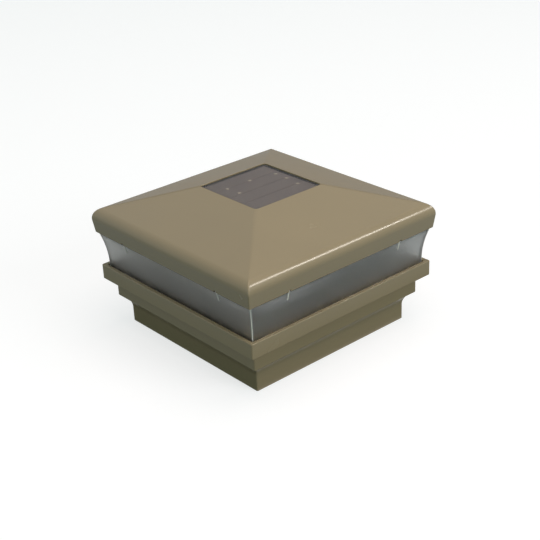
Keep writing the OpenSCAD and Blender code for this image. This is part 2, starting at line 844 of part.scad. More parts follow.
// Two screws that hold the door
module door_screws() {
    color(STEEL)
        for (s = [-1, 1])
            translate([s * door_screw_x, -bay_at, 0])
                screw(screw_d, head_d, head_h, door_screw_len, door_z);
}

// Rubber frame in the door's groove
module door_seal() {
    color(BLACK)
        translate([0, -bay_at, 0])
            difference() {
                block(seal_l_mid + door_seal_w, seal_w_mid + door_seal_w, tray_z - door_seal_t, tray_z);
                block(seal_l_mid - door_seal_w, seal_w_mid - door_seal_w, tray_z - door_seal_t - cut, tray_z + cut);
            }
}

// Pair of wires from the panel down to the circuit board
module panel_wires() {
    color("firebrick")
        for (s = [-1, 1])
            tube([for (p = panel_route) [s * p[0], p[1], p[2]]], wire_d, [1, 0, 0]);
}

// Wires from the two contact tabs to the circuit board
module battery_wires() {
    color("firebrick")
        for (s = [-1, 1])
            tube([for (p = battery_route) [s * p[0], p[1], p[2]]], wire_d, [1, 0, 0]);
}

// Jumpers between the lamp boards at three corners, and the feed from the circuit board
module lamp_wires() {
    color("firebrick") {
        for (a = [0, 90, 180], d = [-2, 2])
            rotate([0, 0, a])
                tube(concat(jumper_half(d), [for (p = [for (k = [3:-1:0]) jumper_half(d)[k]]) [p[1], p[0], p[2]]]),
                    wire_d, [0, 0, 1]);
        for (d = [-1, 1])
            translate([board_l / 2 + feed_reach, board_at + d, 0])
                tube(feed_route, wire_d, [0, 1, 0]);
    }
}

collar();
deck_plate();
lens();
roof();
panel_cover();
panel_seal();
panel_board();
solar_cells();
cell_joints();
tray();
tray_screws();
main_board();
board_screws();
controller_chip();
choke_coil();
capacitors();
switch_case();
switch_knob();
lamp_boards();
lamps();
spring_contact();
plate_contact();
battery_cell();
battery_sleeve();
battery_door();
door_screws();
door_seal();
panel_wires();
battery_wires();
lamp_wires();
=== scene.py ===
"""Looks of a solar cap light for a square deck post, in the order that it is put together."""

import math

import bmesh
import bpy
import numpy as np
from mathutils import Matrix, Vector


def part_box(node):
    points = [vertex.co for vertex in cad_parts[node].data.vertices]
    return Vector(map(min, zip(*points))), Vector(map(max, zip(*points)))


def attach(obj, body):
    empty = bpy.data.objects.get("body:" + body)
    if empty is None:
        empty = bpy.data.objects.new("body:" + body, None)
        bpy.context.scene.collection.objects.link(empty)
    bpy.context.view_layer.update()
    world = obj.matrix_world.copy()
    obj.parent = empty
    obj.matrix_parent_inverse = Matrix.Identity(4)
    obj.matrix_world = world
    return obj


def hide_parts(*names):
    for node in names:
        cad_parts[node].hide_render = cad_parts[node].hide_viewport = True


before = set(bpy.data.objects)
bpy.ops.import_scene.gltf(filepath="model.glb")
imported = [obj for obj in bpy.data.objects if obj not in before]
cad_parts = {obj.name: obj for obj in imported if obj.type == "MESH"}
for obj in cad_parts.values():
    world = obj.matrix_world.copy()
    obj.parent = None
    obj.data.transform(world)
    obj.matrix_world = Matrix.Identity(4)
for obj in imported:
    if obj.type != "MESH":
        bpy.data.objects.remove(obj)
scene = bpy.context.scene
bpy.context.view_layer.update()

# ------------------------------------------------------------------ camera
# The photograph looks down on the front corner of the light through a short telephoto lens,
# with the camera rolled a little. Distances are in half widths of the collar's skirt.
MM = 0.001
skirt_half = 66.75 * MM
view_turn = math.radians(-40.315)
view_tilt = math.radians(26.363)
view_roll = math.radians(-2.711)
view_far = 11.652
view_side = 0.056
view_lift = 0.108
aim_height = 0.45
focal_px = 1127.0
photo_px = 540.0
sensor_w = 36.0

back = Vector((math.sin(view_turn) * math.cos(view_tilt), -math.cos(view_turn) * math.cos(view_tilt),
               math.sin(view_tilt)))
right = Vector((math.cos(view_turn), math.sin(view_turn), 0))
up = back.cross(right)
eye = Vector((0, 0, aim_height * skirt_half)) + skirt_half * (
    view_far * back + view_side * right + view_lift * up)
rolled_right = right * math.cos(view_roll) + up * math.sin(view_roll)
rolled_up = up * math.cos(view_roll) - right * math.sin(view_roll)


def add_object(name, data):
    """An object with the given data, put into the scene."""
    thing = bpy.data.objects.new(name, data)
    scene.collection.objects.link(thing)
    return thing


lens_data = bpy.data.cameras.new("photo_view")
lens_data.sensor_width = sensor_w
lens_data.lens = focal_px / photo_px * sensor_w
camera = add_object("photo_view", lens_data)
looking = Matrix((rolled_right, rolled_up, back)).transposed()
camera.matrix_world = Matrix.Translation(eye) @ looking.to_4x4()
scene.camera = camera
scene.view_settings.view_transform = "Standard"

# ------------------------------------------------------------------ studio
# A pale floor lies under a white surround. A broad lamp hangs overhead, and weaker ones stand
# right and low on the left. Gloss alone shows a strip lamp, which draws the bright line along
# the right eave, and the cards and mats, which keep the white surround off the sides.
floor_half = 4.0
surround_fill = (0.245, 0.35, 0.33)
floor_seen = (0.44, 0.415, 0.43)
floor_lift = 0.70
floor_dim = (0.05, 0.06, 0.03)
lamp_aim = Vector((0, 0, 0.08))
# Each lamp: its place, size, power in watts and colour.
lamps = {
    "top_lamp": ((0.1, -0.3, 1.7), (1.5, 1.5), 13.1, (1.0, 0.83, 0.77)),
    "side_lamp": ((0.35, -1.5, 0.75), (0.8, 0.8), 9.8, (0.93, 1.0, 0.97)),
    "left_lamp": ((-1.6, -0.5, 0.2), (0.8, 0.8), 4.0, (0.84, 1.0, 1.1)),
    "strip_lamp": ((0.98, -1.10, 1.07), (0.045, 0.72), 12.5, (1.0, 0.93, 0.84)),
}
# Each card: its turn in degrees, the reach and height of its near and far edges, its width and
# its tone.
cards = {
    "far_card": (47, (1.3, 0.002), (1.3, 0.95), 1.9, (0.29, 0.29, 0.29)),
    "far_mat": (47, (0.14, 0.001), (1.29, 0.001), 1.9, (0.40, 0.41, 0.41)),
    "left_foot_mat": (180, (0.067, 0.0004), (0.082, 0.0004), 0.9, (0.0, 0.0, 0.0)),
    "left_near_mat": (180, (0.082, 0.0004), (0.128, 0.0004), 0.9, (0.36, 0.37, 0.34)),
    "left_mat": (180, (0.128, 0.0004), (0.7, 0.0004), 0.9, (0.50, 0.53, 0.54)),
    "right_near_mat": (-90, (0.068, 0.0008), (0.125, 0.0008), 0.9, (0.22, 0.25, 0.24)),
    "right_mat": (-90, (0.125, 0.0008), (0.7, 0.0008), 0.9, (0.66, 0.76, 0.82)),
}


def node(tree, kind, given=None, **settings):
    """A shader node of one kind, with its own settings and the values given to its inputs."""
    made = tree.nodes.new("ShaderNode" + kind)
    for label, value in settings.items():
        setattr(made, label, value)
    for socket, value in (given or {}).items():
        made.inputs[socket].default_value = value
    return made


def wire(tree, *links):
    """Joins outputs to inputs: each link is (node, its output, next node, its input)."""
    for source, leaving, target, entering in links:
        tree.links.new(source.outputs[leaving], target.inputs[entering])


def seen_directly(tree):
    """1 on rays from the camera, also off gloss and through clear plastic, and 0 on a ray that
    has left a matt surface: the largest of the three ray flags, less the matt bounces so far."""
    path = node(tree, "LightPath")
    first = node(tree, "Math", operation="MAXIMUM")
    both = node(tree, "Math", operation="MAXIMUM")
    less = node(tree, "Math", operation="SUBTRACT", use_clamp=True)
    wire(tree, (path, "Is Camera Ray", first, 0), (path, "Is Glossy Ray", first, 1),
         (first, 0, both, 0), (path, "Is Transmission Ray", both, 1),
         (both, 0, less, 0), (path, "Diffuse Depth", less, 1))
    return less


world = bpy.data.worlds.new("white_surround")
scene.world = world
world.use_nodes = True
tree = world.node_tree
tree.nodes.clear()
shown = node(tree, "Background", {"Color": (1, 1, 1, 1)})
fill = node(tree, "Background", {"Color": (*surround_fill, 1)})
mix = node(tree, "MixShader")
out = node(tree, "OutputWorld")
wire(tree, (seen_directly(tree), 0, mix, 0), (fill, 0, mix, 1), (shown, 0, mix, 2), (mix, 0, out, 0))

for name, (place, size, power, colour) in lamps.items():
    light = bpy.data.lights.new(name, "AREA")
    light.shape = "RECTANGLE"
    light.size, light.size_y = size
    light.energy = power
    light.color = colour
    holder = add_object(name, light)
    holder.visible_diffuse = name != "strip_lamp"
    away = (Vector(place) - lamp_aim).normalized()
    long_way = (Vector((1, 0, 0)) - away * away.x).normalized()
    turn = Matrix((long_way.cross(away), long_way, away)).transposed()
    holder.matrix_world = Matrix.Translation(place) @ turn.to_4x4()


def blank_paint(name):
    """A material with an empty node tree."""
    made = bpy.data.materials.new(name)
    made.use_nodes = True
    made.node_tree.nodes.clear()
    return made


def studio_sheet(name, corners, paint):
    """One flat sheet of the studio from its four corners."""
    mesh = bpy.data.meshes.new(name)
    mesh.from_pydata(corners, [], [(0, 1, 2, 3)])
    mesh.materials.append(paint)
    sheet = add_object(name, mesh)


paint = blank_paint("floor_paint")
tree = paint.node_tree
pale = node(tree, "BsdfDiffuse", {"Color": (*floor_seen, 1)})
dim = node(tree, "BsdfDiffuse", {"Color": (*floor_dim, 1)})
glow = node(tree, "Emission", {"Strength": floor_lift})
lifted = node(tree, "AddShader")
clear = node(tree, "BsdfTransparent")
side = node(tree, "NewGeometry")
by_ray = node(tree, "MixShader")
by_side = node(tree, "MixShader")
out = node(tree, "OutputMaterial")
wire(tree, (pale, 0, lifted, 0), (glow, 0, lifted, 1),
     (seen_directly(tree), 0, by_ray, 0), (dim, 0, by_ray, 1), (lifted, 0, by_ray, 2),
     (side, "Backfacing", by_side, 0), (by_ray, 0, by_side, 1), (clear, 0, by_side, 2),
     (by_side, 0, out, 0))
floor_corners = [(x * floor_half, y * floor_half, 0) for x, y in ((-1, -1), (1, -1), (1, 1), (-1, 1))]
studio_sheet("floor", floor_corners, paint)

for name, (card_turn, near_edge, far_edge, wide, tone) in cards.items():
    paint = blank_paint(name + "_paint")
    paint.cycles.emission_sampling = "NONE"
    tree = paint.node_tree
    grey = node(tree, "Emission", {"Color": (*tone, 1)})
    clear = node(tree, "BsdfTransparent")
    path = node(tree, "LightPath")
    by_ray = node(tree, "MixShader")
    out = node(tree, "OutputMaterial")
    wire(tree, (path, "Is Glossy Ray", by_ray, 0), (clear, 0, by_ray, 1), (grey, 0, by_ray, 2),
         (by_ray, 0, out, 0))
    turn = math.radians(card_turn)
    toward = Vector((math.cos(turn), math.sin(turn), 0))
    sideways = Vector((-toward.y, toward.x, 0)) * wide / 2
    near, far = [toward * reach + Vector((0, 0, height)) for reach, height in (near_edge, far_edge)]
    studio_sheet(name, [near - sideways, near + sideways, far + sideways, far - sideways], paint)

# ------------------------------------------------------------------ collar
# The stepped collar is one moulding in taupe plastic, coloured right through, with a satin
# skin from a finely etched tool. It slips over the post; its sharp corners are eased.
collar_wall = 2.5 * MM
socket_half = skirt_half - collar_wall
skirt_top = 11.2 * MM
cove_r = 10.0 * MM
step_half = 73.2 * MM
flange_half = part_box("collar")[1].x
rim_w = 3.0 * MM
rim_half = flange_half - rim_w
deck_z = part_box("collar")[1].z
flange_h = 10.7 * MM
flange_z = deck_z - flange_h
seat_z = flange_z + collar_wall
corner_r = 1.0 * MM
edge_ease = 0.5 * MM
taupe = (0.318, 0.236, 0.139)


def arc(centre, radius, start, end, steps):
    """Points at one radius round a centre, from one angle to another in degrees."""
    a = np.radians(np.linspace(start, end, steps + 1))
    return np.stack([centre[0] + radius * np.cos(a), centre[1] + radius * np.sin(a)], 1)


def eased(points, ease):
    """A closed outline with its sharp corners cut back and bridged by a quadratic curve of
    three steps, (1-t)^2 before + 2t(1-t) corner + t^2 after. A turn of less than 20 degrees is
    left."""
    steps = 3
    p = np.asarray(points, float)
    before, after = np.roll(p, 1, 0) - p, np.roll(p, -1, 0) - p
    long_before = np.linalg.norm(before, axis=1, keepdims=True)
    long_after = np.linalg.norm(after, axis=1, keepdims=True)
    cosine = np.sum(-before * after, 1) / (long_before * long_after)[:, 0]
    sharp = cosine < math.cos(math.radians(20))
    cut = np.minimum(ease, 0.45 * np.minimum(long_before, long_after))
    first, last = p + before / long_before * cut, p + after / long_after * cut
    t = np.linspace(0, 1, steps + 1)[None, :, None]
    bend = (1 - t) ** 2 * first[:, None] + 2 * t * (1 - t) * p[:, None] + t ** 2 * last[:, None]
    bend[~sharp, 0] = p[~sharp]
    return bend[sharp[:, None] | (np.arange(steps + 1) == 0)]


def grid_faces(rows, columns, round_rows=True):
    """Quads of a grid that closes on itself along its columns and, if asked, along its rows."""
    i = np.arange(rows if round_rows else rows - 1)[:, None]
    j = np.arange(columns)[None, :]
    i2, j2 = (i + 1) % rows, (j + 1) % columns
    quads = [i * columns + j, i * columns + j2, i2 * columns + j2, i2 * columns + j]
    return np.stack([np.broadcast_to(q, (len(i), columns)).ravel() for q in quads], 1)


def carried(outline, radii, stops, corner_steps=5, kept=0.0, core=(0.0, 0.0), raised=0.0, slant=0.0):
    """Carries a closed outline of (half width, height) rows round a rectangle. Half widths are
    measured from a core of half lengths (a, b). Row i, column j is a point of the rectangle of
    that half width and corner radius: four straight sides at the given stops, joined by
    quarter circles. Stops nearer to the middle than kept stay where they are as the width
    changes. Raised moves the sides' points up, and out by the slant for each unit."""
    w, z = outline[:, :1], outline[:, 1:]
    r = np.broadcast_to(np.reshape(radii, (-1, 1)), w.shape)
    s = np.asarray(stops, float)[None, :]
    far = np.abs(s).max()
    turn = np.radians(np.linspace(0, 90, corner_steps + 2)[1:-1])[None, :]
    height = np.concatenate([z + raised + 0 * s, z + 0 * turn], 1)
    across = np.concatenate([w + 0 * s + slant * raised, w - r + r * np.cos(turn)], 1)
    along = []
    for half in core:
        reach = w - r + half
        inner = np.where(reach > 1.05 * kept, kept, reach * kept / far)
        near = np.abs(s) / max(kept, 1e-9) * inner
        outer = inner + (np.abs(s) - kept) / (far - kept) * (reach - inner)
        straight = np.where(np.abs(s) <= kept, near, outer) * np.sign(s)
        along.append(np.concatenate([straight, reach + r * np.sin(turn)], 1))
    x, y = core[0] + across, core[1] + across
    sides = [(x, along[1]), (-along[0], y), (-x, -along[1]), (along[0], -y)]
    rows = np.concatenate([np.stack([px, py, height], 2) for px, py in sides], 1)
    return rows.reshape(-1, 3), [grid_faces(*rows.shape[:2])]


def placed(shell, matrix):
    """A shell moved by a 4 x 4 matrix: every point times its turn, plus its shift."""
    points, faces = shell
    m = np.array(matrix)
    return points @ m[:3, :3].T + m[:3, 3], faces


def solid(name, shells, coat, body, slot, *stands_for):
    """One piece from (points, blocks of faces) shells, smooth over curves and flat on flats."""
    points, faces, count = [], [], 0
    for shell_points, blocks in shells:
        points.append(shell_points)
        for block in blocks:
            faces += (block + count).tolist()
        count += len(shell_points)
    mesh = bpy.data.meshes.new(name)
    mesh.from_pydata(np.concatenate(points).tolist(), [], faces)
    mesh.polygons.foreach_set("use_smooth", np.ones(len(mesh.polygons), bool))
    mesh.materials.append(coat)
    mesh.update()
    piece = add_object(name, mesh)
    flat = piece.modifiers.new("flat_faces", "WEIGHTED_NORMAL")
    flat.weight = 80
    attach(piece, body)
    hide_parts(*stands_for)


def skin_group():
    """Node group for a moulded or drawn skin: slow drifts of tone and gloss, and a fine grain
    as a normal, all from noise on the piece's own coordinates."""
    group = bpy.data.node_groups.new("skin", "ShaderNodeTree")
    for label in ("Grain Scale", "Grain Depth", "Tone Spread", "Roughness", "Roughness Spread"):
        group.interface.new_socket(label, in_out="INPUT", socket_type="NodeSocketFloat")
    for label, kind in (("Tone", "Float"), ("Roughness", "Float"), ("Normal", "Vector")):
        group.interface.new_socket(label, in_out="OUTPUT", socket_type="NodeSocket" + kind)
    given, sent = group.nodes.new("NodeGroupInput"), group.nodes.new("NodeGroupOutput")
    where = node(group, "TexCoord")
    slow = node(group, "TexNoise", {"Scale": 22.0, "Detail": 4.0})
    fine = node(group, "TexNoise", {"Detail": 2.0})
    bump = node(group, "Bump", {"Distance": 0.02 * MM})
    swing = node(group, "Math", {1: 4.0, 2: -2.0}, operation="MULTIPLY_ADD")
    tone = node(group, "Math", {2: 1.0}, operation="MULTIPLY_ADD")
    rough = node(group, "Math", operation="MULTIPLY_ADD")
    wire(group, (where, "Object", slow, "Vector"), (where, "Object", fine, "Vector"),
         (given, "Grain Scale", fine, "Scale"), (given, "Grain Depth", bump, "Strength"),
         (fine, 0, bump, "Height"), (slow, 0, swing, 0),
         (swing, 0, tone, 0), (given, "Tone Spread", tone, 1),
         (swing, 0, rough, 0), (given, "Roughness Spread", rough, 1), (given, "Roughness", rough, 2),
         (tone, 0, sent, "Tone"), (rough, 0, sent, "Roughness"), (bump, 0, sent, "Normal"))
    return group


skin = skin_group()


def finish(name, colour, rough, grain=2600.0, depth=0.4, spread=0.03, drift=0.04, **fixed):
    """A material with the skin's grain and drifts. What is the same all over, such as how
    metallic or clear it is, is set on the shader itself."""
    made = bpy.data.materials.new(name)
    made.use_nodes = True
    tree = made.node_tree
    shader = tree.nodes["Principled BSDF"]
    for label, value in fixed.items():
        shader.inputs[label.replace("_", " ")].default_value = value
    worn = node(tree, "Group", {"Grain Scale": grain, "Grain Depth": depth, "Tone Spread": spread,
                                "Roughness": rough, "Roughness Spread": drift}, node_tree=skin)
    tint = node(tree, "VectorMath", {0: colour}, name="tint", operation="SCALE")
    wire(tree, (worn, "Tone", tint, "Scale"), (tint, 0, shader, "Base Color"),
         (worn, "Roughness", shader, "Roughness"), (worn, "Normal", shader, "Normal"))
    return made


taupe_plastic = finish("taupe_plastic", taupe, 0.24, depth=0.2, spread=0.02, Specular_IOR_Level=0.4)

cove_at = (skirt_half + cove_r, skirt_top)
cove_out = 180 - math.degrees(math.acos((cove_at[0] - step_half) / cove_r))
cove_in = 180 - math.degrees(math.acos((cove_at[0] - step_half + collar_wall) / (cove_r + collar_wall)))
collar_outline = eased(np.concatenate([
    [(socket_half, 0), (skirt_half, 0)],
    arc(cove_at, cove_r, 180, cove_out, 12),
    [(step_half, flange_z), (flange_half, flange_z), (flange_half, deck_z), (rim_half, deck_z),
     (rim_half, seat_z), (step_half - collar_wall, seat_z)],
    arc(cove_at, cove_r + collar_wall, cove_in, 180, 12)]), edge_ease)
collar_radii = np.where(collar_outline[:, 0] > skirt_half - edge_ease, corner_r, corner_r / 2)
side_stops = np.linspace(-1, 1, 9) * step_half
solid("collar_moulding", [carried(collar_outline, collar_radii, side_stops)], taupe_plastic,
      "root", "taupe_plastic", "collar")

# ------------------------------------------------------------------ deck plate
# A second moulding in the same plastic closes the flange from above. The lens stands in the
# groove round its edge, and twelve ribs under it stop the post. It is welded in.
weld_gap = 0.3 * MM
plate_half = rim_half - weld_gap
groove_half = 73.4 * MM
groove_z = deck_z - 3.0 * MM
plate_t = 2.5 * MM
rib_half = step_half - collar_wall - weld_gap
window_half = 46.0 * MM
window_r = 6.0 * MM
rib_in = socket_half - 8.25 * MM
stop_z = deck_z - 14.3 * MM
leg_z = stop_z - 6.0 * MM
rib_t = 2.5 * MM
rib_pitch = 40.0 * MM

plate_outline = eased([
    (plate_half, seat_z), (plate_half, groove_z), (groove_half, groove_z), (groove_half, deck_z),
    (window_half, deck_z), (window_half, deck_z - plate_t), (rib_half, deck_z - plate_t),
    (rib_half, groove_z - plate_t), (plate_half - plate_t, groove_z - plate_t),
    (plate_half - plate_t, seat_z)], 0.4 * MM)
plate_radii = np.where(plate_outline[:, 0] < window_half + 2 * MM, window_r, corner_r / 2)


def pressed(outline, thick, ease, lie):
    """A flat piece of one thickness, placed by a matrix: its outline at four levels, drawn in
    by the ease at both faces, and one polygon on each face. Drawing in moves a point by the
    mean of its two sides' inward normals, stretched so that each side moves by the ease. The
    stretch is limited where the corner is sharp."""
    p = np.asarray(outline, float)
    along = np.roll(p, -1, 0) - p
    along /= np.linalg.norm(along, axis=1, keepdims=True)
    inward = np.stack([-along[:, 1], along[:, 0]], 1)
    inward = inward + np.roll(inward, 1, 0)
    inward *= 2 / np.maximum(np.sum(inward ** 2, 1, keepdims=True), 0.8)
    n = len(p)
    levels = ((ease, 0), (0, ease), (0, thick - ease), (ease, thick))
    points = np.concatenate([np.column_stack([p + inward * d, np.full(n, z)]) for d, z in levels])
    caps = [np.arange(n)[None, ::-1], 3 * n + np.arange(n)[None]]
    return placed((points, [grid_faces(4, n, False)] + caps), lie)


def spun(side):
    """Quarter turns about the upright axis."""
    return Matrix.Rotation(math.radians(90 * side), 4, "Z")


rib_outline = [(rib_in, stop_z), (socket_half, stop_z), (socket_half, leg_z), (rib_half, leg_z),
               (rib_half, deck_z - plate_t + edge_ease), (rib_in, deck_z - plate_t + edge_ease)]
upright = Matrix(((1, 0, 0, 0), (0, 0, -1, 0), (0, 1, 0, 0), (0, 0, 0, 1)))
ribs = [pressed(rib_outline, rib_t, 0.3 * MM,
                spun(side) @ Matrix.Translation((0, rib_pitch * k + rib_t / 2, 0)) @ upright)
        for side in range(4) for k in (-1, 0, 1)]
solid("deck_moulding", [carried(plate_outline, plate_radii, side_stops, 8)] + ribs, taupe_plastic,
      "root", "taupe_plastic", "deck_plate")

# ------------------------------------------------------------------ lens
# The band between flange and roof is one clear moulding with a faint satin skin. It flares
# outwards as it rises. A pale strip down each corner is a painted highlight, for the light that
# the rounded corners catch. Eight slim ribs on it hook into notches in the roof's lip; they are
# painted pale, a painted highlight for the light that the clear ribs catch.
lens_wall = 2.0 * MM
foot_half = rim_half - 0.8 * MM
flare_r = 71.6 * MM
flare_z = deck_z + 1.75 * MM
flare_at = foot_half + flare_r
lip_z = deck_z + 24.6 * MM
ledge_reach = 2.5 * MM
spigot_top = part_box("lens")[1].z
tray_top = spigot_top - 1.5 * MM
shoulder_z = lip_z - lens_wall
lens_top_half = flare_at - math.sqrt(flare_r ** 2 - (lip_z - flare_z) ** 2)
lip_half = lens_top_half + 1.25 * MM
spigot_half = lip_half - 3.0 * MM
clip_pitch = 97.4 * MM
clip_w = 1.2 * MM
clip_h = 6.4 * MM
clip_out = 0.8 * MM
clip_tip = 0.9 * MM


def flare_half(z, wall=0.0):
    """Half width of the flare's outer face, or one wall inside it: centre - sqrt(r^2 - z^2)."""
    return flare_at - np.sqrt((flare_r + wall) ** 2 - np.maximum(z - flare_z, 0) ** 2)


def flare(wall, low, high, steps=16):
    """Points of the flare between two heights."""
    z = np.linspace(low, high, steps + 1)
    return np.stack([flare_half(z, wall), z], 1)


spigot_in = spigot_half - lens_wall
lens_outline = eased(np.concatenate([
    [(foot_half, groove_z)], flare(0, flare_z, lip_z),
    [(spigot_half, lip_z), (spigot_half, spigot_top), (spigot_in - ledge_reach, spigot_top),
     (spigot_in - ledge_reach, tray_top), (spigot_in, tray_top), (spigot_in, shoulder_z)],
    flare(lens_wall, shoulder_z, flare_z),
    [(foot_half - lens_wall, groove_z)]]), 0.3 * MM)
lens_plastic = finish("lens_plastic", (0.76, 0.77, 0.76), 0.42, grain=900.0, depth=0.2, spread=0.01,
                      drift=0.03, Transmission_Weight=1.0, IOR=1.49)
solid("lens_band", [carried(lens_outline, corner_r, np.linspace(-1, 1, 13) * lip_half)],
      lens_plastic, "lamp_head", "lens_plastic", "lens")

skin_deep = 0.1 * MM
clip_foot = lip_z - clip_h
behind = flare(0, lip_z, clip_foot, 6) - (skin_deep, 0)
clip_face = lens_top_half + clip_out / 2
clip_back = spigot_half - skin_deep
clip_outline = np.concatenate([
    behind, [(flare_half(clip_foot) + clip_out, clip_foot), (clip_face, lip_z),
             (clip_face, lip_z + clip_tip), (clip_back, lip_z + clip_tip), (clip_back, lip_z)]])
clips = [pressed(clip_outline, clip_w, 0.15 * MM,
                 spun(side) @ Matrix.Translation((0, s * clip_pitch / 2 + clip_w / 2, 0)) @ upright)
         for side in range(4) for s in (-1, 1)]
# Painted highlight: the ribs and the corner strips are pale and opaque, standing in for the light that the
# clear plastic catches there.
lens_painted_highlight = finish("lens_painted_highlight", (0.90, 0.82, 0.76), 0.4, grain=900.0, depth=0.3)
solid("lens_clips", clips, lens_painted_highlight, "lamp_head", "lens_plastic", "lens")


def drawn(route, thick, side, sides=10, per_span=8):
    """A round wire along a route. Rows follow a cubic through the points, with each point's
    slope taken from its neighbours over the length of wire. Columns go round on two normals:
    the tangent crossed with a fixed side, and the tangent crossed with that."""
    p = np.asarray(route, float)
    s = np.concatenate([[0], np.cumsum(np.linalg.norm(np.diff(p, axis=0), axis=1))])
    slope = np.gradient(p, s, axis=0)
    n = (len(p) - 1) * per_span
    k = np.minimum(np.arange(n + 1) // per_span, len(p) - 2)
    u = (np.arange(n + 1) / per_span - k)[:, None]
    span = (s[k + 1] - s[k])[:, None]
    line = ((1 + 2 * u) * (1 - u) ** 2 * p[k] + u * (1 - u) ** 2 * span * slope[k]
            + u ** 2 * (3 - 2 * u) * p[k + 1] + u ** 2 * (u - 1) * span * slope[k + 1])
    ahead = np.gradient(line, axis=0)
    ahead /= np.linalg.norm(ahead, axis=1, keepdims=True)
    first = np.cross(ahead, np.asarray(side, float))
    first /= np.linalg.norm(first, axis=1, keepdims=True)
    second = np.cross(ahead, first)
    a = np.radians(np.arange(sides) * 360 / sides)[None, :, None]
    points = line[:, None] + thick / 2 * (np.cos(a) * first[:, None] + np.sin(a) * second[:, None])
    caps = [np.arange(sides)[None, ::-1], n * sides + np.arange(sides)[None]]
    return points.reshape(-1, 3), [grid_faces(n + 1, sides, False)] + caps


# Painted highlight: a pale strip down each corner of the lens stands in for the light that the rounded
# corners catch.
highlight_strip_d = 0.7 * MM
highlight_strip_line = np.concatenate([[(foot_half, deck_z - MM)], flare(0, flare_z, lip_z - MM, 8)])
highlight_strip_half = highlight_strip_line[:, 0] - (1 - math.sqrt(0.5)) * corner_r - 0.25 * highlight_strip_d
highlight_strip = drawn(np.column_stack([-highlight_strip_half, -highlight_strip_half, highlight_strip_line[:, 1]]), highlight_strip_d, (1, -1, 0), 8, 2)
solid("lens_corner_highlights", [placed(highlight_strip, spun(side)) for side in range(4)], lens_painted_highlight,
      "lamp_head", "lens_plastic", "lens")

# ------------------------------------------------------------------ roof
# The roof is one shell in the collar's plastic: four low slopes, an eave rolled to 8 mm and
# a side that leans out. Its opening holds the panel in a pocket, its lip has eight notches.
roof_wall = 2.5 * MM
roll_r = 8.0 * MM
lean = math.radians(7.2)
pitch = math.radians(17.2)
eave_h = 9.9 * MM
roll_z = lip_z + eave_h
roll_at = lip_half + (eave_h - roll_r * math.sin(lean)) * math.tan(lean) - roll_r * math.cos(lean)
panel_half = 28.6 * MM
panel_r = 2.5 * MM
roof_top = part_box("roof")[1].z
panel_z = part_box("panel_board")[0].z
pocket_z = panel_z - 2.0 * MM
wire_hole_r = 3.5 * MM
wire_hole_y = 16.0 * MM
boss_at = 52.0 * MM
boss_r = 4.0 * MM
notch_w = clip_w + 0.6 * MM
notch_h = clip_tip + 0.3 * MM
notch_step = 0.05 * MM
hip_r = 0.8 * MM


def slope_z(half, wall):
    """Height of the slope's outer face, or of the face one wall below it, at a half width."""
    foot_w, foot_z = roll_at + roll_r * math.sin(pitch), roll_z + roll_r * math.cos(pitch)
    return foot_z + (foot_w - half) * math.tan(pitch) - wall / math.cos(pitch)


pocket_half = panel_half + roof_wall
over = 90 - math.degrees(pitch)
under = -math.degrees(lean)
roof_outline = eased(np.concatenate([
    [(wire_hole_r, pocket_z), (pocket_half, pocket_z), (pocket_half, slope_z(pocket_half, roof_wall))],
    arc((roll_at, roll_z), roll_r - roof_wall, over, under, 12),
    [(lip_half - roof_wall / math.cos(lean), lip_z), (lip_half, lip_z)],
    arc((roll_at, roll_z), roll_r, under, over, 16),
    [(panel_half, roof_top), (panel_half, panel_z), (wire_hole_r, panel_z)]]), 0.35 * MM)
w, z = roof_outline[:, :1], roof_outline[:, 1:]
at_hole = w[:, 0] < wire_hole_r + 0.4 * MM
roof_radii = np.select([at_hole, w[:, 0] < panel_half + 0.4 * MM], [wire_hole_r / 2, panel_r], hip_r)
notch_sides = [s * clip_pitch / 2 + k * (notch_w / 2 + e * notch_step)
               for s in (-1, 1) for k in (-1, 1) for e in (-1, 1)]
roof_stops = np.sort(np.concatenate([np.linspace(-1, 1, 13) * lip_half, notch_sides]))
on_notch = np.abs(np.abs(roof_stops) - clip_pitch / 2)[None, :] < notch_w / 2
roof_points, roof_faces = carried(roof_outline, roof_radii, roof_stops, 6, kept=60.0 * MM,
                                  raised=np.where(on_notch & (z < lip_z + 0.4 * MM), notch_h, 0),
                                  slant=math.tan(lean))
rows = roof_points.reshape(len(roof_outline), -1, 3)
opening = rows[np.argmin(np.abs(w[:, 0] - panel_half))]
around = np.arctan2(opening[:, 1], opening[:, 0])
rows[at_hole, :, 0] = w[at_hole] * np.cos(around)
rows[at_hole, :, 1] = w[at_hole] * np.sin(around) + wire_hole_y


def turned(outline, centre, steps=24, closed=True):
    """An outline of (radius, height) turned round an upright axis. An open one starts near the
    axis below and ends near it above, and each end is closed by one polygon."""
    p = np.asarray(outline, float)
    a = np.radians(np.arange(steps) * 360 / steps)[None, :]
    points = np.stack([centre[0] + p[:, :1] * np.cos(a), centre[1] + p[:, :1] * np.sin(a),
                       centre[2] + p[:, 1:] + 0 * a], 2).reshape(-1, 3)
    caps = [] if closed else [np.arange(steps)[None, ::-1], (len(p) - 1) * steps + np.arange(steps)[None]]
    return points, [grid_faces(len(p), steps, closed)] + caps


boss_top = slope_z(boss_at + boss_r, 0.8 * MM)
boss_bore = 1.55 * MM
boss_outline = [(boss_bore, tray_top), (boss_r, tray_top), (boss_r, boss_top), (boss_bore, boss_top)]
boss_places = [(x, y) for x in (-boss_at, boss_at) for y in (-boss_at, boss_at)]
bosses = [turned(boss_outline, (x, y, 0)) for x, y in boss_places]
solid("roof_shell", [(rows.reshape(-1, 3), roof_faces)] + bosses, taupe_plastic,
      "lamp_head", "taupe_plastic", "roof")

# ------------------------------------------------------------------ solar panel
# A laminate board with four violet grey cells lies in the roof's pocket. Six small solder
# joints show on it. A rubber frame and a clear sheet, glued in, keep the rain out.


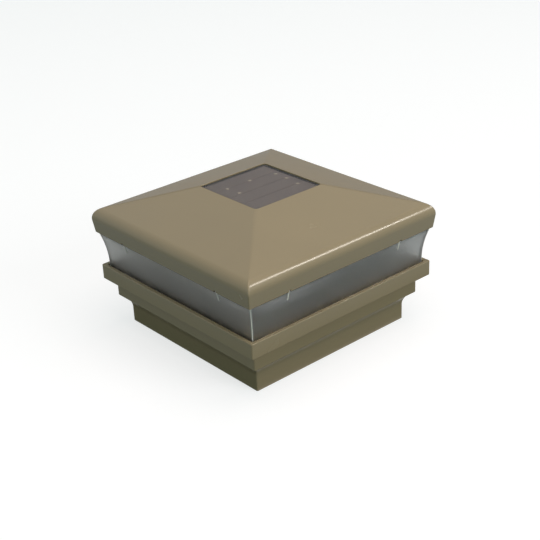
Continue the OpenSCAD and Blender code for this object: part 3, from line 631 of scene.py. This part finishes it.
def rounded(half_x, half_y, radius, steps=6):
    """Outline of a rectangle with quarter circles at its corners, counterclockwise."""
    a = np.radians(np.linspace(0, 90, steps + 1))
    quarter = np.stack([np.cos(a), np.sin(a)], 1) * radius
    corner = np.array((half_x - radius, half_y - radius))
    turns = [np.array(((c, s), (-s, c))) for c, s in ((1, 0), (0, 1), (-1, 0), (0, -1))]
    places = [corner, corner * (-1, 1), -corner, corner * (1, -1)]
    return np.concatenate([quarter @ t + p for t, p in zip(turns, places)])


def level(z, x=0.0, y=0.0):
    """Lays a pressed piece flat with its lower face at a height."""
    return Matrix.Translation((x, y, z))


board_low, board_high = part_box("panel_board")
fit_half = board_high.x
fit_r = panel_r - 0.3 * MM
# The board is painted lighter than the cells, a painted light that lifts the shade in the narrow gaps between
# them.
panel_back = finish("panel_back", (0.36, 0.31, 0.28), 0.35, spread=0.05, Specular_IOR_Level=0.2)


def flat_sheet(low, high, ease):
    """A square sheet that lies in the roof's opening between two corners of its box."""
    return pressed(rounded(fit_half, fit_half, fit_r), high.z - low.z, ease, level(low.z))


solid("panel_laminate", [flat_sheet(board_low, board_high, 0.1 * MM)], panel_back,
      "lamp_head", "panel_back", "panel_board")

cells_low, cells_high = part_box("solar_cells")
cell_gap = 0.3 * MM
cell_count = 4
cell_y = (2 * cells_high.y - (cell_count - 1) * cell_gap) / cell_count
cell_finish = finish("solar_cell", (0.205, 0.171, 0.151), 0.22, grain=420.0, depth=0.1, spread=0.06,
                     Specular_IOR_Level=0.25)


def drawn_over(coat, mask, colour):
    """Lays a second colour over a material's tint wherever a mask node gives more than 0. Inputs
    6 and 7 of the mix are its two colours."""
    tree = coat.node_tree
    over = node(tree, "Mix", {7: (*colour, 1)}, data_type="RGBA")
    wire(tree, (mask, 0, over, 0), (tree.nodes["tint"], 0, over, 6),
         (over, 2, tree.nodes["Principled BSDF"], "Base Color"))


tree = cell_finish.node_tree
fingers = node(tree, "TexWave", {"Scale": 250.0}, bands_direction="X")
thin = node(tree, "MapRange", {"From Min": 0.93, "To Max": 0.25})
wire(tree, (node(tree, "TexCoord"), "Object", fingers, "Vector"), (fingers, 1, thin, 0))
drawn_over(cell_finish, thin, (0.25, 0.215, 0.20))
strips = [pressed(rounded(cells_high.x, cell_y / 2, 0.6 * MM), cells_high.z - cells_low.z, 0.05 * MM,
                  level(cells_low.z, 0, (k - (cell_count - 1) / 2) * (cell_y + cell_gap)))
          for k in range(cell_count)]
solid("cell_strips", strips, cell_finish, "lamp_head", "solar_cell", "solar_cells")

joint_low, joint_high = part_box("cell_joints")
# The joints' places are shares of the panel's half width.
joint_places = [(0.78, 0.35), (0.73, -0.48), (0.09, 0.48), (-0.57, 0.08), (0.78, -0.04), (-0.60, 0.47)]
joint_t = joint_high.z - joint_low.z
joint_r = 1.3 * MM
solder = finish("solder", (0.40, 0.34, 0.25), 0.45, grain=900.0, spread=0.06, Metallic=0.2)
joint_outline = [(0.1 * MM, 0), (joint_r, 0), (0.93 * joint_r, 0.4 * joint_t),
                 (0.6 * joint_r, 0.8 * joint_t), (0.1 * MM, joint_t)]
solid("solder_joints", [turned(joint_outline, (x * panel_half, y * panel_half, joint_low.z), 20, False)
                        for x, y in joint_places], solder, "lamp_head", "solder", "cell_joints")

seal_low, seal_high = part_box("panel_seal")
seal_w = 1.2 * MM
seal_rubber = finish("seal_rubber", (0.050, 0.043, 0.037), 0.6, grain=1500.0, spread=0.08,
                     Specular_IOR_Level=0.3)


def seal_frame(half, width, low, high, ease, outer_r, inner_r, core=(0.0, 0.0)):
    """A rubber frame of one width between two heights, rounded at its corners."""
    outline = eased([(half - width, low), (half, low), (half, high), (half - width, high)], ease)
    radii = np.where(outline[:, 0] > half - width / 2, outer_r, inner_r)
    return carried(outline, radii, np.linspace(-1, 1, 5), core=core)


solid("panel_frame_seal",
      [seal_frame(fit_half, seal_w, seal_low.z, seal_high.z, 0.2 * MM, fit_r, 0.3 * MM)],
      seal_rubber, "lamp_head", "seal_rubber", "panel_seal")

cover_low, cover_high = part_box("panel_cover")
cover_sheet = finish("cover_sheet", (0.94, 0.92, 0.93), 0.10, grain=300.0, depth=0.05, spread=0.01,
                     drift=0.02, Transmission_Weight=1.0, IOR=1.36)
solid("panel_window", [flat_sheet(cover_low, cover_high, 0.15 * MM)], cover_sheet,
      "lamp_head", "cover_sheet", "panel_cover")

# ------------------------------------------------------------------ tray
# The tray is moulded in dark brown plastic, with the battery's bay, the standoffs and the
# pegs on it. Four screws in the roof's bosses hold it up and clamp the lens's ledge.


def softened(node, name, ease, coat, body, segments=2):
    """A copy of a CAD solid: its triangles are merged into flat faces and its edges eased."""
    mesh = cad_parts[node].data.copy()
    mesh.name = name
    work = bmesh.new()
    work.from_mesh(mesh)
    bmesh.ops.remove_doubles(work, verts=work.verts, dist=0.001 * MM)
    bmesh.ops.dissolve_limit(work, angle_limit=math.radians(1), verts=work.verts, edges=work.edges)
    work.to_mesh(mesh)
    work.free()
    mesh.materials.clear()
    mesh.materials.append(coat)
    mesh.polygons.foreach_set("use_smooth", np.ones(len(mesh.polygons), bool))
    piece = add_object(name, mesh)
    edge = piece.modifiers.new("eased_edges", "BEVEL")
    edge.width = ease
    edge.segments = segments
    edge.limit_method = "ANGLE"
    edge.angle_limit = math.radians(30)
    edge.harden_normals = True
    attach(piece, body)
    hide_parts(node)


tray_plastic = finish("tray_plastic", (0.055, 0.050, 0.040), 0.5, grain=1800.0, depth=0.6, spread=0.05,
                      Specular_IOR_Level=0.3)
softened("tray", "tray_moulding", 0.25 * MM, tray_plastic, "lamp_head")

screw_steel = finish("screw_steel", (0.62, 0.61, 0.58), 0.32, grain=1400.0, depth=0.3, spread=0.06,
                     Metallic=1.0)


def screw(d, head_d, head_h, length, thread, lie):
    """A cross head screw, head up, its seat at height 0. Rows go up the shank and over the
    head to its middle. On the shank the radius falls by the thread's depth times a triangle
    wave of height / pitch - turn. On the head the top drops inside a cross of two bars."""
    columns = 40
    a = np.radians(np.arange(columns) * 360 / columns)[None, :]
    z = np.linspace(-length + d / 4, -thread / 2, int(6 * length / thread))[:, None]
    wave = np.abs(2 * ((z / thread - a / (2 * math.pi)) % 1) - 1)
    shank = d / 2 - 0.12 * d * wave
    tip = [(0.2 * d, -length), (0.38 * d, -length + d / 8)]
    u = np.linspace(1, 0.04, 22)
    dome = np.stack([u * head_d / 2, head_h * (1 - 0.3 * u ** 2.2)], 1)
    rim = [(d / 2, 0), (head_d / 2 - 0.15 * MM, 0), (head_d / 2, 0.15 * MM)]
    plain = np.array(tip)[:, None] + 0 * a[..., None]
    top = np.concatenate([rim, dome])[:, None] + 0 * a[..., None]
    r = np.concatenate([plain[..., 0], shank, top[..., 0]])
    h = np.concatenate([plain[..., 1], z + 0 * a, top[..., 1]])
    x, y = r * np.cos(a), r * np.sin(a)

    def bar(p, q):
        across = np.clip((0.08 * head_d - np.abs(p)) / (0.03 * head_d) + 0.5, 0, 1)
        return across * np.clip((0.30 * head_d - np.abs(q)) / (0.10 * head_d) + 0.5, 0, 1)

    in_head = h > 0.4 * head_h
    h = h - np.where(in_head, 0.55 * head_h * np.maximum(bar(x, y), bar(y, x)), 0)
    points = np.stack([x, y, h], 2).reshape(-1, 3)
    caps = [np.arange(columns)[None, ::-1], (len(r) - 1) * columns + np.arange(columns)[None]]
    return placed((points, [grid_faces(len(r), columns, False)] + caps), lie)


def facing_down(x, y, z):
    """Places a piece that is made head up so that its head points down."""
    return Matrix.Translation((x, y, z)) @ Matrix.Rotation(math.pi, 4, "X")


tray_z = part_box("lamp_boards")[1].z
case_screw = {"d": 3 * MM, "head_d": 5.6 * MM, "head_h": 1.8 * MM, "thread": 1.1 * MM}
solid("tray_cross_screws", [screw(length=10 * MM, lie=facing_down(x, y, tray_z), **case_screw)
                            for x, y in boss_places],
      screw_steel, "lamp_head", "screw_steel", "tray_screws")

# ------------------------------------------------------------------ circuit board
# A green lacquered board lies on four standoffs, each with a small screw. It carries the
# charge controller, a wound choke and two capacitors, all soldered.
board_low, board_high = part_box("main_board")
board_y = (board_low.y + board_high.y) / 2
board_top = board_high.z
lacquer = finish("circuit_lacquer", (0.020, 0.115, 0.050), 0.3, grain=700.0, spread=0.05)
tree = lacquer.node_tree
tracks = node(tree, "TexBrick", {
    "Color1": (0, 0, 0, 1), "Color2": (0, 0, 0, 1), "Mortar": (1, 1, 1, 1), "Scale": 250.0,
    "Mortar Size": 0.08, "Brick Width": 2.3, "Row Height": 0.66}, offset=0.37)
wire(tree, (node(tree, "TexCoord"), "Object", tracks, "Vector"))
drawn_over(lacquer, tracks, (0.045, 0.190, 0.070))
softened("main_board", "circuit_plate", 0.12 * MM, lacquer, "lamp_head")

hole_in = 4 * MM
hole_x, hole_y = board_high.x - hole_in, board_high.y - board_y - hole_in
board_screw = {"d": 2 * MM, "head_d": 4 * MM, "head_h": 1.3 * MM, "thread": 0.8 * MM}
solid("board_cross_screws", [screw(length=4.4 * MM, lie=level(board_top, x, board_y + y), **board_screw)
                             for x in (-hole_x, hole_x) for y in (-hole_y, hole_y)],
      screw_steel, "lamp_head", "screw_steel", "board_screws")

chip_low, chip_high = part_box("controller_chip")
chip_y = (chip_low.y + chip_high.y) / 2
chip_half = chip_high.x
leg_lift = 0.4 * MM
leg_w = 0.6 * MM
black_plastic = finish("black_plastic", (0.018, 0.018, 0.018), 0.5, grain=2000.0, depth=0.6, spread=0.06)
chip_body = pressed(rounded(chip_half, chip_half, 0.25 * MM, 2), chip_high.z - board_top - leg_lift,
                    0.2 * MM, level(board_top + leg_lift, 0, chip_y))
leg_reach = (chip_high.y - chip_y) / MM
leg_root = chip_half / MM
leg_outline = MM * np.array([
    (leg_root - 0.2, 0.62), (leg_root + 0.45, 0.62), (leg_root + 0.75, 0), (leg_reach, 0),
    (leg_reach, 0.2), (leg_root + 0.95, 0.2), (leg_root + 0.65, 0.85), (leg_root - 0.2, 0.85)])
legs = [pressed(leg_outline, leg_w, 0.04 * MM, Matrix.Translation((0, chip_y, board_top)) @ spun(side)
                @ Matrix.Translation((0, k * 2 * chip_half / 4.5 + leg_w / 2, 0)) @ upright)
        for side in (1, 3) for k in (-1.5, -0.5, 0.5, 1.5)]
solid("controller_body", [chip_body], black_plastic, "lamp_head", "black_plastic", "controller_chip")
tinned = finish("tinned_legs", (0.60, 0.60, 0.60), 0.35, grain=1500.0, spread=0.05, Metallic=1.0)
solid("controller_legs", legs, tinned, "lamp_head", "switch_steel", "controller_chip")

choke_low, choke_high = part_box("choke_coil")
choke_r = (choke_high.x - choke_low.x) / 2 / MM
choke_h = (choke_high.z - choke_low.z) / MM
choke_at = ((choke_low.x + choke_high.x) / 2, (choke_low.y + choke_high.y) / 2, choke_low.z)
rim_low, rim_high = choke_h / 6, 5 * choke_h / 6
drum = MM * np.array([
    (0.2, 0), (choke_r - 0.3, 0), (choke_r, 0.3), (choke_r, rim_low - 0.2), (choke_r - 0.2, rim_low),
    (0.6 * choke_r, rim_low), (0.6 * choke_r, rim_high), (choke_r - 0.2, rim_high),
    (choke_r, rim_high + 0.2), (choke_r, choke_h - 0.3), (choke_r - 0.3, choke_h),
    (0.3 * choke_r, choke_h), (0.25 * choke_r, choke_h - 0.3), (0.2, choke_h - 0.3)])
turns = 11
t = np.linspace(0, 1, 8 * turns + 1)
wound = np.stack([0.8 * choke_r + 0.1 * np.abs(np.sin(t * turns * math.pi)),
                  rim_low + t * (rim_high - rim_low)], 1)
winding = MM * np.concatenate([[(0.62 * choke_r, rim_low)], wound, [(0.62 * choke_r, rim_high)]])
ferrite = finish("ferrite", (0.035, 0.033, 0.032), 0.55, grain=1200.0, depth=0.8, spread=0.08)
copper_coil = finish("copper_coil", (0.55, 0.20, 0.07), 0.3, grain=1600.0, depth=0.2, spread=0.08,
                     Metallic=1.0)
solid("choke_drum", [turned(drum, choke_at, 36, False)], ferrite, "lamp_head", "black_plastic", "choke_coil")
solid("choke_winding", [turned(winding, choke_at, 36)], copper_coil, "lamp_head", "copper_coil", "choke_coil")

cap_low, cap_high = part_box("capacitors")
cap_r = (cap_high.x - cap_low.x) / 2 / MM
cap_h = (cap_high.z - cap_low.z) / MM
cap_x = (cap_low.x + cap_high.x) / 2
cap_sleeve = MM * np.array([
    (0.2, 0), (cap_r - 0.2, 0), (cap_r, 0.2), (cap_r, 1.0), (cap_r - 0.3, 1.3), (cap_r - 0.3, 1.7),
    (cap_r, 2.0), (cap_r, cap_h - 0.35), (cap_r - 0.3, cap_h - 0.05), (cap_r - 0.7, cap_h - 0.1),
    (0.2, cap_h - 0.3)])
cap_lid = MM * np.array([
    (0.2, cap_h - 0.6), (cap_r - 0.65, cap_h - 0.6), (cap_r - 0.65, cap_h - 0.12),
    (cap_r - 0.8, cap_h - 0.03), (0.2, cap_h - 0.02)])
cap_places = [(cap_x, y, cap_low.z) for y in (cap_low.y + cap_r * MM, cap_high.y - cap_r * MM)]
cap_wrap = finish("capacitor_wrap", (0.030, 0.045, 0.080), 0.3, spread=0.05)
capacitor_can = finish("capacitor_can", (0.62, 0.63, 0.64), 0.3, grain=1500.0, spread=0.04, Metallic=1.0)
solid("capacitor_wraps", [turned(cap_sleeve, p, 32, False) for p in cap_places], cap_wrap,
      "lamp_head", "capacitor_can", "capacitors")
solid("capacitor_lids", [turned(cap_lid, p, 32, False) for p in cap_places], capacitor_can,
      "lamp_head", "capacitor_can", "capacitors")

# ------------------------------------------------------------------ switch
# The slide switch is a tinned steel case under the board, with a black knob that stands out
# below the tray. The knob has three grip ribs and travels 2 mm.
softened("switch_case", "switch_shell", 0.2 * MM, tinned, "lamp_head")
knob_low, knob_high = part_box("switch_knob")
knob_x, knob_y = (knob_low.x + knob_high.x) / 2, (knob_low.y + knob_high.y) / 2
slider_half, slider_deep = (knob_high.x - knob_low.x) / 2, (knob_high.y - knob_low.y) / 2
knob_half, knob_deep = slider_half - 0.8 * MM, slider_deep - 0.4 * MM
slider_h = 0.8 * MM
slider_z = knob_high.z - slider_h
t = np.linspace(-1, 1, 37)
ribbed = np.stack([t * knob_half, knob_low.z + 0.25 * MM * (0.5 - 0.5 * np.cos(6 * math.pi * t))
                   * (np.abs(t) < 0.99)], 1)
knob_top = slider_z + 0.1 * MM
knob_outline = np.concatenate([ribbed, [(knob_half, knob_top), (-knob_half, knob_top)]])
knob_place = Matrix.Translation((knob_x, knob_y + knob_deep, 0)) @ upright
solid("switch_grip", [pressed(knob_outline, 2 * knob_deep, 0.12 * MM, knob_place),
                      pressed(rounded(slider_half, slider_deep, 0.3 * MM, 3), slider_h, 0.1 * MM,
                              level(slider_z, knob_x, knob_y))],
      black_plastic, "switch_knob", "black_plastic", "switch_knob")

# ------------------------------------------------------------------ lamps
# Under the tray a white lacquered board runs along each side on two melted pegs. Each has
# two square lamps facing down: a white case with a round well of yellow filling.
lamp_lacquer = finish("lamp_lacquer", (0.72, 0.73, 0.71), 0.35, grain=800.0, spread=0.03)
softened("lamp_boards", "lamp_plates", 0.1 * MM, lamp_lacquer, "lamp_head")
lamp_low, lamp_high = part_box("lamps")
lamp_half = 2.5 * MM
lamp_at = lamp_high.x - lamp_half
lamp_pitch = 40.0 * MM
lamp_h = lamp_high.z - lamp_low.z
well_r = 1.9 * MM
case_outline = eased([
    (well_r, 0.5 * MM), (well_r + 0.25 * MM, 0), (lamp_half - 0.1 * MM, 0), (lamp_half, lamp_h * 0.45),
    (lamp_half - 0.05 * MM, lamp_h), (well_r, lamp_h)], 0.1 * MM)
case_radii = np.where(case_outline[:, 0] < well_r + 0.3 * MM, 0.97 * case_outline[:, 0], 0.3 * MM)
lamp_ring = carried(case_outline, case_radii, np.linspace(-1, 1, 3), 7)
filling = [(0.2 * MM, 0.28 * MM), (1.2 * MM, 0.2 * MM), (well_r, 0.14 * MM), (well_r, lamp_h - 0.05 * MM),
           (0.2 * MM, lamp_h - 0.05 * MM)]
lamp_places = [spun(side) @ Matrix.Translation((lamp_at, s * lamp_pitch / 2, lamp_low.z))
               for side in range(4) for s in (-1, 1)]
lamp_case = finish("lamp_case", (0.80, 0.79, 0.74), 0.4, spread=0.03)
lamp_filling = finish("lamp_filling", (0.75, 0.52, 0.06), 0.2, grain=1500.0, spread=0.06)
solid("lamp_cases", [placed(lamp_ring, p) for p in lamp_places], lamp_case,
      "lamp_head", "lamp_case", "lamps")
filled = turned(filling, (0, 0, 0), 28, False)
solid("lamp_fillings", [placed(filled, p) for p in lamp_places], lamp_filling,
      "lamp_head", "lamp_case", "lamps")

# ------------------------------------------------------------------ battery
# One rechargeable cell lies in the bay between a coiled spring and a plate, both of nickel
# plated steel. The cell is a steel can in a shrunk green sleeve, plain apart from one band.
contact_steel = finish("contact_steel", (0.68, 0.66, 0.60), 0.28, grain=1200.0, depth=0.2, spread=0.05,
                       Metallic=1.0)
plate_low, plate_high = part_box("plate_contact")
plate_thick = plate_high.x - plate_low.x
bay_y = (plate_low.y + plate_high.y) / 2
plate_half_y = (plate_high.y - plate_low.y) / 2
tab_half = 2.5 * MM
neck_z = plate_high.z - 4.3 * MM
contact_outline = [
    (-plate_half_y, plate_low.z), (plate_half_y, plate_low.z), (plate_half_y, neck_z),
    (tab_half, neck_z), (tab_half, plate_high.z), (-tab_half, plate_high.z), (-tab_half, neck_z),
    (-plate_half_y, neck_z)]
on_edge = Matrix(((0, 0, 1, 0), (1, 0, 0, 0), (0, 1, 0, 0), (0, 0, 0, 1)))


def contact(x):
    """A contact plate standing across the bay, its lower x face at x."""
    return pressed(contact_outline, plate_thick, 0.08 * MM, Matrix.Translation((x, bay_y, 0)) @ on_edge)


cell_low, cell_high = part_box("battery_cell")
sleeve_low, sleeve_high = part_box("battery_sleeve")
cell_z = (cell_low.z + cell_high.z) / 2
spring_wire = 0.8 * MM
spring_r = 3.6 * MM
spring_turns = 3.5
spring_start = -plate_high.x + plate_thick + spring_wire / 2 - 0.1 * MM
spring_long = 5.5 * MM - spring_wire
a = np.linspace(0, 2 * math.pi * spring_turns, 57)
coil = np.stack([spring_start + spring_long * a / a[-1], bay_y + spring_r * np.cos(a),
                 cell_z + spring_r * np.sin(a)], 1)
solid("spring_end", [contact(-plate_high.x), drawn(coil, spring_wire, (1, 0, 0), 10, 3)], contact_steel,
      "lamp_head", "contact_steel", "spring_contact")
solid("plate_end", [contact(plate_low.x)], contact_steel, "lamp_head", "contact_steel", "plate_contact")

along_x = Matrix(((0, 0, 1, cell_low.x), (0, 1, 0, bay_y), (-1, 0, 0, cell_z), (0, 0, 0, 1)))
cell_long = (cell_high.x - cell_low.x) / MM
can_r = (cell_high.z - cell_low.z) / 2 / MM
tip_r = 2.75
tip_h = 1.4
shoulder = cell_long - tip_h
can = MM * np.array([
    (0.2, 0.1), (can_r - 1.4, 0.1), (can_r - 0.9, 0), (can_r - 0.3, 0.15), (can_r, 0.6),
    (can_r, shoulder - 0.6), (can_r - 0.3, shoulder - 0.15), (can_r - 0.9, shoulder),
    (tip_r + 1.0, shoulder - 0.2), (tip_r, shoulder - 0.2), (tip_r, cell_long - 0.3),
    (tip_r - 0.3, cell_long), (0.2, cell_long)])
battery_can = finish("battery_can", (0.66, 0.66, 0.64), 0.25, grain=1200.0, depth=0.15, spread=0.04,
                     Metallic=1.0)
solid("battery_steel", [placed(turned(can, (0, 0, 0), 48, False), along_x)], battery_can,
      "battery", "battery_can", "battery_cell")
ends = (sleeve_low.x - cell_low.x, sleeve_high.x - cell_low.x)
sleeve_r = (sleeve_high.z - sleeve_low.z) / 2
inner_r = sleeve_r - 0.2 * MM
wrap = [(inner_r, ends[0]), (sleeve_r - 0.08 * MM, ends[0]), (sleeve_r, ends[0] + 0.1 * MM),
        (sleeve_r, ends[1] - 0.1 * MM), (sleeve_r - 0.08 * MM, ends[1]), (inner_r, ends[1])]
battery_wrap = finish("battery_wrap", (0.040, 0.170, 0.085), 0.25, spread=0.04)
band_w = 9 * MM
tree = battery_wrap.node_tree
apart = node(tree, "SeparateXYZ")
band = node(tree, "Math", {1: sleeve_high.x - band_w}, operation="GREATER_THAN")
wire(tree, (node(tree, "TexCoord"), "Object", apart, 0), (apart, "X", band, 0))
drawn_over(battery_wrap, band, (0.55, 0.56, 0.54))
solid("battery_band", [placed(turned(wrap, (0, 0, 0), 48), along_x)], battery_wrap,
      "battery", "battery_wrap", "battery_sleeve")

# ------------------------------------------------------------------ battery door
# The door is moulded in the tray's plastic. Two saddles on it carry the cell, a rubber frame
# lies in its groove, and two screws hold it up against the tray.
softened("battery_door", "door_moulding", 0.3 * MM, tray_plastic, "battery_door", 3)
door_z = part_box("battery_door")[0].z
door_screw_x = 37.3 * MM
solid("door_cross_screws", [screw(length=9 * MM, lie=facing_down(x, bay_y, door_z), **case_screw)
                            for x in (-door_screw_x, door_screw_x)],
      screw_steel, "battery_door", "screw_steel", "door_screws")
seal_low, seal_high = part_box("door_seal")
seal_half = (seal_high.y - seal_low.y) / 2
door_seal_w = 1.6 * MM
door_ring = seal_frame(seal_half, door_seal_w, seal_low.z, seal_high.z, 0.4 * MM, 0.6 * MM, 0.2 * MM,
                       (seal_high.x - seal_half, 0))
solid("door_frame_seal", [placed(door_ring, Matrix.Translation((0, bay_y, 0)))], seal_rubber,
      "battery_door", "seal_rubber", "door_seal")

# ------------------------------------------------------------------ wires
# Red insulated wires join the panel, the battery's contacts and the lamp boards to the
# circuit board. They are soldered at both ends.
wire_d = 1.0 * MM
wire_cover = finish("wire_cover", (0.42, 0.030, 0.020), 0.42, grain=1500.0, depth=0.3, spread=0.06)
tab_x = plate_low.x + plate_thick / 2
tab_mid = plate_high.z - 1.25 * MM
land_x, land_y = board_high.x - 10 * MM, board_y - 10 * MM
under_tray = tray_z - 0.6 * MM
strip_half = 35.0 * MM
feed_x = board_high.x + 4 * MM
board_mid = (board_low.z + board_top) / 2


def beside(place, *offsets):
    """Points at the given offsets, in millimetres, from a place."""
    return np.array(place) + MM * np.array(offsets)


panel_route = np.concatenate([
    beside((0, wire_hole_y, panel_z), (1, 0, 0)),
    beside((0, wire_hole_y, pocket_z), (1, 0, -1.5), (2, 3, -6)),
    beside((0, wire_hole_y, board_top), (3, 9, 7), (3, 12, 3), (3, 12, 0))])
battery_route = np.concatenate([
    beside((tab_x, bay_y + tab_half, tab_mid), (0, 0, 0)),
    beside((tab_x, bay_y, tab_mid), (0, 7, 0), (-1.5, 14, -1)),
    beside((land_x, land_y, board_top),
           (3, -15, 9.5), (1, -7, 5.5), (0, -1.5, 3.4), (0, 0, 1.9), (0, 0, 0))])
feed_route = np.concatenate([
    beside((board_high.x, board_y, board_mid), (0, 0, 0), (1.5, 0, 0)),
    beside((feed_x, board_y, board_low.z), (-0.8, 0, -1)),
    beside((feed_x, board_y, tray_top), (0, 0, 0)),
    beside((feed_x, board_y, tray_z), (0.6, 0, 0.5)),
    beside((feed_x, board_y, under_tray), (2.2, 0, 0), (5, 0, 0)),
    beside((lamp_at, board_y, under_tray), (-4.5, 0, 0))])


def jumper(d):
    """Half of a jumper round a corner, d millimetres out from the lamps' line, then its mirror
    image across the diagonal."""
    half = beside((lamp_at, strip_half), (d, 0), (d, 3), (d - 3, 6.5), (d - 11, 9 + d / 2))
    return np.column_stack([np.concatenate([half, half[::-1, ::-1]]), np.full(2 * len(half), under_tray)])


mirrored = np.array((-1, 1, 1))
solid("panel_leads", [drawn(panel_route * m, wire_d, (1, 0, 0)) for m in (1, mirrored)], wire_cover,
      "lamp_head", "wire_cover", "panel_wires")
solid("battery_leads", [drawn(battery_route * m, wire_d, (1, 0, 0)) for m in (1, mirrored)], wire_cover,
      "lamp_head", "wire_cover", "battery_wires")
feeds = [drawn(feed_route + (0, d * MM, 0), wire_d, (0, 1, 0)) for d in (-1, 1)]
jumpers = [placed(drawn(jumper(d), wire_d, (0, 0, 1)), spun(side)) for side in (0, 1, 2) for d in (-2, 2)]
solid("lamp_leads", feeds + jumpers, wire_cover, "lamp_head", "wire_cover", "lamp_wires")
